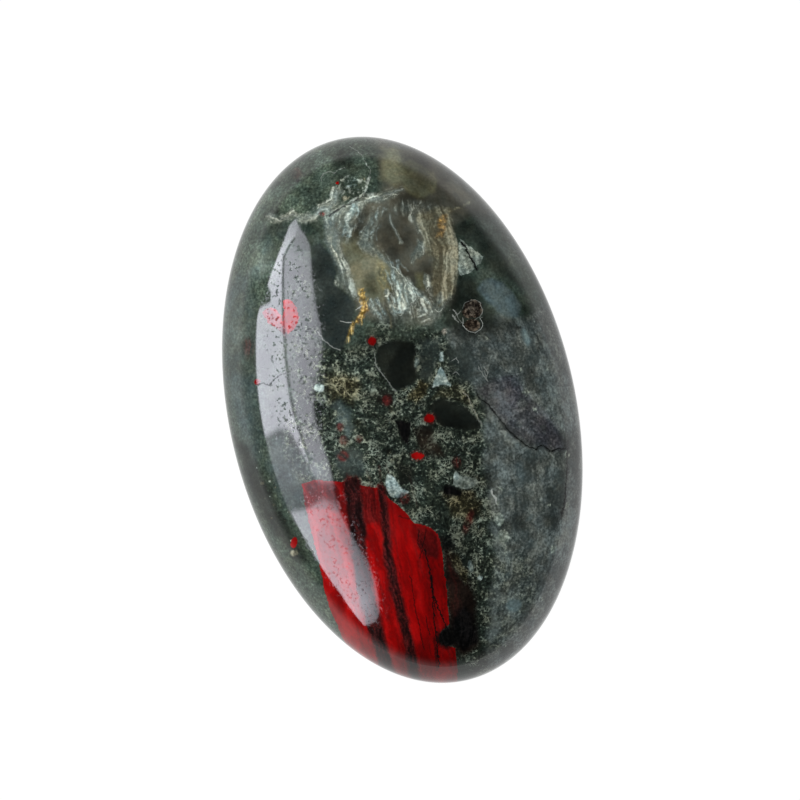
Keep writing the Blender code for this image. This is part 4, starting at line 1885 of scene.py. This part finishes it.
    def light(self, graph: Graph, tone: Any, lively: Any, textures: dict[str, Any]) -> Socket:
        """How much lighter than its mineral each place is, with its finest grain.

        Args:
            graph: The material's tree.
            tone: The tone kept on the stone's points, in doublings of light.
            lively: How much of the finest grain shows.
            textures: The fine patterns.

        Returns:
            The socket.
        """
        for pattern, steps in self.finest:
            off = graph.math("MULTIPLY", graph.math("SUBTRACT", textures[pattern], 0.5), lively)
            tone = graph.math("MULTIPLY_ADD", off, steps, tone)
        return graph.math("POWER", 2.0, tone)

    def material(self) -> bpy.types.Material:
        """Joins the minerals' colours, the hairlines and the gloss.

        Returns:
            The finished material.
        """
        material = bpy.data.materials.new(SLOT)
        material.use_nodes = True
        graph = Graph(material.node_tree)

        def amount(name: str) -> Socket:
            """One of the numbers kept on the stone's points."""
            return graph.add("ShaderNodeAttribute", attribute_name=name).outputs["Fac"]

        textures = self.textures(graph)
        ground, lively = self.ground, 1.0
        colour = graph.ramp(textures[ground.texture], (ground.dark, ground.middle, ground.light))
        for mineral, look in self.looks().items():
            tint = graph.ramp(textures[look.texture], (look.dark, look.middle, look.light))
            shown = self.shown(graph, amount(mineral.value), look.edge, textures)
            colour = graph.mix(shown, colour, tint)
            change = graph.math("SUBTRACT", 1.0 - look.calm, lively)
            lively = graph.math("MULTIPLY_ADD", change, shown, lively)
        place = graph.add("ShaderNodeTexCoord").outputs["Object"]
        drift = graph.add("ShaderNodeTexNoise", {"Vector": place, "Scale": self.cast_scale, "Detail": 2.0})
        cast = graph.ramp(graph.spread(drift.outputs[0], 0.32, 0.68), (self.cool, self.warm))
        colour = graph.mix(1.0, colour, cast, "MULTIPLY")
        scaled = graph.add("ShaderNodeVectorMath", {0: colour}, operation="SCALE")
        graph.feed(scaled.inputs["Scale"], self.light(graph, amount("tone"), lively, textures))
        line = graph.math("ABSOLUTE", graph.math("ADD", amount("hair_side"), textures["shake"]))
        line = graph.spread(line, *self.hair_edge)
        colour = graph.mix(graph.math("MULTIPLY", line, amount("dark_hair")), scaled.outputs[0],
                           (*self.dark_line, 1.0))
        colour = graph.mix(graph.math("MULTIPLY", line, amount("pale_hair")), colour, (*self.pale_line, 1.0))
        cut = graph.math("MAXIMUM", amount("groove"), graph.math("MULTIPLY", line, amount("cut_hair")))
        rough = graph.math("MULTIPLY_ADD", cut, self.groove_roughness, self.roughness)
        pitted = graph.math("MULTIPLY", textures["pits"], amount("worn"))
        rough = graph.math("MULTIPLY_ADD", pitted, self.pit_roughness, rough)
        surface = material.node_tree.nodes["Principled BSDF"]
        graph.feed(surface.inputs["Base Color"], colour)
        graph.feed(surface.inputs["Roughness"], rough)
        graph.feed(surface.inputs["IOR"], self.ior)
        return material


@dataclass
class Bloodstone:
    """The whole stone: its cut form, its minerals and its finish."""

    finish: StoneFinish = field(default_factory=StoneFinish)
    groove_depth: float = 0.000012

    def regions(self) -> list[Region]:
        """The stone's regions, in the order they are laid."""
        return [Ground(), UpperLeft(), PlumeWindow(), RightShoulder(), LeftClasts(), RightHalf(),
                Middle(), RedPatch(), Polish()]

    def build(self) -> bpy.types.Object:
        """Makes the stone in place of its plain solid.

        Returns:
            The finished piece.
        """
        low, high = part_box(NODE)
        size = Vector(high) - Vector(low)
        form = CutStone(size.x, size.y, size.z)
        stone = form.cut(self.finish.material())
        mesh = stone.data
        places = read(mesh.vertices, "co", 3)
        canvas = Canvas(places, form.girdle_top)
        for region in self.regions():
            for marking in region.markings():
                marking.paint(canvas)
        for mineral, amount in canvas.amounts.items():
            self.store(mesh, mineral.value, amount)
        self.store(mesh, "tone", canvas.tone)
        self.store(mesh, "groove", canvas.groove)
        self.store(mesh, "hair_side", canvas.hair_side)
        self.store(mesh, "worn", canvas.worn)
        for kind, shares in canvas.hairs.items():
            self.store(mesh, kind, shares)
        flow = mesh.attributes.new("flow", "FLOAT_VECTOR", "POINT")
        fields = np.column_stack([canvas.along, canvas.across, canvas.mm[:, 2]]) * MM
        flow.data.foreach_set("vector", fields.astype(np.float32).ravel())
        self.sink(mesh, places, canvas.groove)
        return stone

    def sink(self, mesh: bpy.types.Mesh, places: Array, groove: Array) -> None:
        """Cuts the grooves into the mesh.

        Args:
            mesh: The stone's mesh.
            places: Its points.
            groove: How deep each point lies, as a share of the deepest groove.
        """
        cut = places - read(mesh.vertices, "normal", 3) * (self.groove_depth * groove)[:, None]
        mesh.vertices.foreach_set("co", cut.ravel())
        mesh.update()

    @staticmethod
    def store(mesh: bpy.types.Mesh, name: str, values: Array) -> None:
        """Keeps one number for each point of a mesh under a name."""
        attribute = mesh.attributes.new(name, "FLOAT", "POINT")
        attribute.data.foreach_set("value", values.astype(np.float32))


@dataclass(frozen=True)
class WindowView:
    """The bright window that the polish mirrors, as a glowing wall beside the stone.

    Places on the wall are (along, up), as shares of its distance from the stone.
    """

    distance: float = 1.0
    turn_deg: float = 4.0
    reach: tuple[Point, Point] = ((-1.28, 0.32), (0.92, 2.00))
    step: Point = (0.006, 0.012)
    stretch: float = 3.0
    upper_pane: tuple[Point, ...] = (
        (0.79, 0.83), (0.69, 0.73), (0.53, 0.71), (0.39, 0.65), (0.25, 0.56), (0.22, 0.64),
        (0.18, 0.66), (0.16, 0.46), (0.13, 0.43), (-0.16, 0.42), (-0.15, 0.66), (-0.16, 0.83),
        (-0.21, 0.95), (-0.28, 1.08), (-0.30, 1.38), (-0.25, 1.41), (-0.15, 1.30), (-0.10, 1.36),
        (-0.04, 1.60), (0.05, 1.85), (0.10, 1.87), (0.25, 1.74), (0.42, 1.63), (0.53, 1.59),
        (0.65, 1.50), (0.70, 1.31), (0.73, 1.05))
    lower_pane: tuple[Point, ...] = (
        (-0.34, 0.45), (-0.46, 0.48), (-0.72, 0.50), (-0.87, 0.45), (-1.07, 0.38), (-1.15, 0.78),
        (-1.12, 1.11), (-0.99, 1.36), (-0.84, 1.53), (-0.68, 1.56), (-0.55, 1.44), (-0.36, 1.29),
        (-0.33, 1.09), (-0.34, 0.78))
    post: tuple[Point, ...] = ((-0.38, 0.42), (-0.12, 0.42), (-0.12, 1.36), (-0.38, 1.33))
    cord: tuple[Point, ...] = (
        (-0.23, 1.04), (-0.16, 0.99), (-0.11, 0.95), (0.03, 0.94), (0.15, 0.91), (0.23, 0.89),
        (0.33, 0.84), (0.42, 0.80), (0.51, 0.87), (0.60, 0.97))
    cord_width: float = 0.022
    cord_dark: float = 0.85
    softness: Curve = ((0.5, 0.9, 1.6), (0.012, 0.022, 0.05))
    under_cord: Curve = ((0.10, 0.25, 0.37, 0.49, 0.62, 0.72, 0.85), (10.0, 11.5, 13.5, 11.0, 8.2, 6.2, 3.5))
    over_cord: Curve = ((1.0, 1.1, 1.3, 1.6, 1.75, 1.9), (7.2, 6.8, 6.3, 5.1, 4.7, 4.1))
    over_cord_ends: Curve = ((-0.10, 0.05, 0.45, 0.55), (0.8, 1.0, 1.0, 0.7))
    lower_light: Curve = ((0.5, 0.9, 1.2, 1.45), (8.0, 7.0, 4.6, 3.0))
    lower_end: Curve = ((-1.10, -0.90), (0.5, 1.0))
    post_light: Curve = ((-0.31, -0.24), (1.4, 2.4))
    wall_glow: float = 0.05
    colour: Colour = (0.97, 0.975, 1.09)

    def glow(self, along: Array, up: Array) -> Array:
        """How bright the wall is at each place.

        Args:
            along: How far along the wall each place is.
            up: How high it is.

        Returns:
            The brightness of each place.
        """
        soft = np.interp(up, *self.softness)

        def wider(points: tuple[Point, ...]) -> list[Point]:
            """Points with their along part stretched, because edges across it are sharper."""
            return [(place * self.stretch, height) for place, height in points]

        def inside(outline: tuple[Point, ...]) -> Array:
            """How far each place is inside an outline, from 0 to 1."""
            gap = outline_distance(along * self.stretch, up, wider(outline))
            return smooth_step(1.0, -1.0, gap / soft)

        cord_x, cord_y = zip(*self.cord)
        above = smooth_step(-0.02, 0.02, up - np.interp(along, cord_x, cord_y))
        under = np.interp(along, *self.under_cord)
        beyond = np.interp(up, *self.over_cord) * np.interp(along, *self.over_cord_ends)
        lower = np.interp(up, *self.lower_light) * np.interp(along, *self.lower_end)
        post = np.interp(along, *self.post_light)
        bright = np.full(len(up), self.wall_glow)
        upper = under + above * (beyond - under)
        for outline, level in ((self.post, post), (self.upper_pane, upper), (self.lower_pane, lower)):
            bright = bright + inside(outline) * (level - bright)
        gap, _, _ = line_distance(along * self.stretch, up, wider(self.cord))
        cord = smooth_step(2.0 * self.cord_width, 0.3 * self.cord_width, gap)
        return bright * (1.0 - self.cord_dark * cord)

    def build(self) -> bpy.types.Object:
        """Makes the wall, which only the polish sees.

        Returns:
            The wall's object.
        """
        (left, low), (right, high) = self.reach
        columns = int((right - left) / self.step[0])
        rows = int((high - low) / self.step[1])
        along, up = np.meshgrid(np.linspace(left, right, columns + 1), np.linspace(low, high, rows + 1))
        along, up = along.ravel(), up.ravel()
        lean = math.radians(VIEW.lean_deg - self.turn_deg)
        x = -math.cos(lean) + math.sin(lean) * along
        y = math.sin(lean) + math.cos(lean) * along
        mesh = bpy.data.meshes.new("window")
        points = np.column_stack([x, y, up]) * self.distance
        mesh.from_pydata(points.tolist(), [], CutStone.grid_faces(columns, rows, 0))
        Bloodstone.store(mesh, "glow", self.glow(along, up))
        material = bpy.data.materials.new("window_light")
        material.use_nodes = True
        graph = Graph(material.node_tree)
        graph.tree.nodes.clear()
        glow = graph.add("ShaderNodeAttribute", attribute_name="glow").outputs["Fac"]
        light = graph.add("ShaderNodeEmission", {"Color": (*self.colour, 1.0), "Strength": glow})
        graph.add("ShaderNodeOutputMaterial", {0: light.outputs[0]})
        mesh.materials.append(material)
        wall = bpy.data.objects.new("window", mesh)
        bpy.context.collection.objects.link(wall)
        wall.visible_camera = False
        wall.visible_diffuse = False
        wall.visible_shadow = False
        wall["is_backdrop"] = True
        return wall


@dataclass(frozen=True)
class Studio:
    """A pale floor, a soft light, a pale room and the camera."""

    floor_size: float = 6.0
    floor_drop: float = 0.00003
    floor_glow: float = 1.0
    floor_colour: Colour = (0.02, 0.02, 0.02)
    key_watts: float = 57.0
    key_size: float = 1.6
    key_place: tuple[float, float, float] = (-0.7, 0.35, 2.0)
    overhead: Colour = (0.030, 0.032, 0.035)
    horizon: Colour = (0.92, 0.92, 0.92)
    brighter_side: Colour = (-0.52, 0.85, 0.0)
    side_share: float = 0.6
    pale_below: Point = (0.34, -0.02)
    pale_power: float = 2.2
    clip: Point = (0.01, 20.0)

    def floor(self) -> None:
        """A plain floor under the stone, with an even pale glow of its own."""
        half = self.floor_size / 2
        corners = [(-half, -half), (half, -half), (half, half), (-half, half)]
        mesh = bpy.data.meshes.new("floor")
        mesh.from_pydata([(x, y, -self.floor_drop) for x, y in corners], [], [(0, 1, 2, 3)])
        material = bpy.data.materials.new("floor")
        material.use_nodes = True
        surface = material.node_tree.nodes["Principled BSDF"]
        surface.inputs["Base Color"].default_value = (*self.floor_colour, 1.0)
        surface.inputs["Roughness"].default_value = 1.0
        surface.inputs["Specular IOR Level"].default_value = 0.0
        surface.inputs["Emission Color"].default_value = (1.0, 1.0, 1.0, 1.0)
        surface.inputs["Emission Strength"].default_value = self.floor_glow
        mesh.materials.append(material)
        floor = bpy.data.objects.new("floor", mesh)
        bpy.context.collection.objects.link(floor)
        floor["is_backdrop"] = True

    def key(self) -> None:
        """A soft light from above that isn't mirrored in the polish."""
        light = bpy.data.lights.new("soft_key", "AREA")
        light.shape = "DISK"
        light.size = self.key_size
        light.energy = self.key_watts
        lamp = bpy.data.objects.new("soft_key", light)
        lamp.location = self.key_place
        lamp.rotation_mode = "QUATERNION"
        lamp.rotation_quaternion = Vector(self.key_place).to_track_quat("Z", "Y")
        lamp.visible_glossy = False
        bpy.context.collection.objects.link(lamp)

    def room(self) -> None:
        """A room that is pale near the floor and dark overhead."""
        scene = bpy.context.scene
        scene.world = bpy.data.worlds.new("room")
        scene.world.use_nodes = True
        graph = Graph(scene.world.node_tree)
        graph.tree.nodes.clear()
        ray = graph.add("ShaderNodeTexCoord").outputs["Generated"]
        height = graph.add("ShaderNodeSeparateXYZ", {0: ray}).outputs[2]
        share = graph.math("POWER", graph.spread(height, *self.pale_below), self.pale_power)
        colour = graph.mix(share, (*self.overhead, 1.0), (*self.horizon, 1.0))
        side = graph.add("ShaderNodeVectorMath", {0: ray, 1: self.brighter_side}, operation="DOT_PRODUCT")
        strength = graph.math("MULTIPLY_ADD", side.outputs["Value"], self.side_share, 1.0)
        back = graph.add("ShaderNodeBackground", {"Color": colour, "Strength": strength})
        graph.add("ShaderNodeOutputWorld", {0: back.outputs[0]})

    def camera(self, girdle: float) -> None:
        """The camera, straight above the stone and turned as the photograph is.

        Args:
            girdle: Height of the stone's outline, in metres.
        """
        middle = (VIEW.size_px / 2, VIEW.size_px / 2)
        target = VIEW.place(middle, girdle)
        data = bpy.data.cameras.new("camera")
        seen = VIEW.size_px / VIEW.px_per_mm * MM
        data.lens = data.sensor_width * VIEW.camera_height / seen
        data.clip_start, data.clip_end = self.clip
        camera = bpy.data.objects.new("camera", data)
        camera.location = target + Vector((0.0, 0.0, VIEW.camera_height))
        camera.rotation_euler = (0.0, 0.0, -math.radians(VIEW.lean_deg))
        bpy.context.collection.objects.link(camera)
        bpy.context.scene.camera = camera

    def build(self, girdle: float) -> None:
        """Sets up the floor, the lights, the room and the camera.

        Args:
            girdle: Height of the stone's outline, in metres.
        """
        self.floor()
        WindowView().build()
        self.key()
        self.room()
        self.camera(girdle)
        bpy.context.scene.view_settings.view_transform = "Standard"
        bpy.context.scene.view_settings.look = "None"


def corners(box: Any) -> list[list[float]]:
    """A box's two corners as plain lists of numbers."""
    return [[float(number) for number in corner] for corner in box]


def main() -> None:
    """Builds the stone and the studio round it."""
    solid_box = corners(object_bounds())
    stone = Bloodstone().build()
    log.info("%s: %d points, %d faces", stone.name, len(stone.data.vertices), len(stone.data.polygons))
    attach(stone, "root")
    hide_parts(NODE)
    Studio().build(CutStone.girdle_top)
    log.info("studio: floor, window, soft light and camera")
    {"solid": solid_box, "seen": corners(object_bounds())}


if __name__ == "__main__":
    logging.basicConfig(level=logging.INFO)
    main()
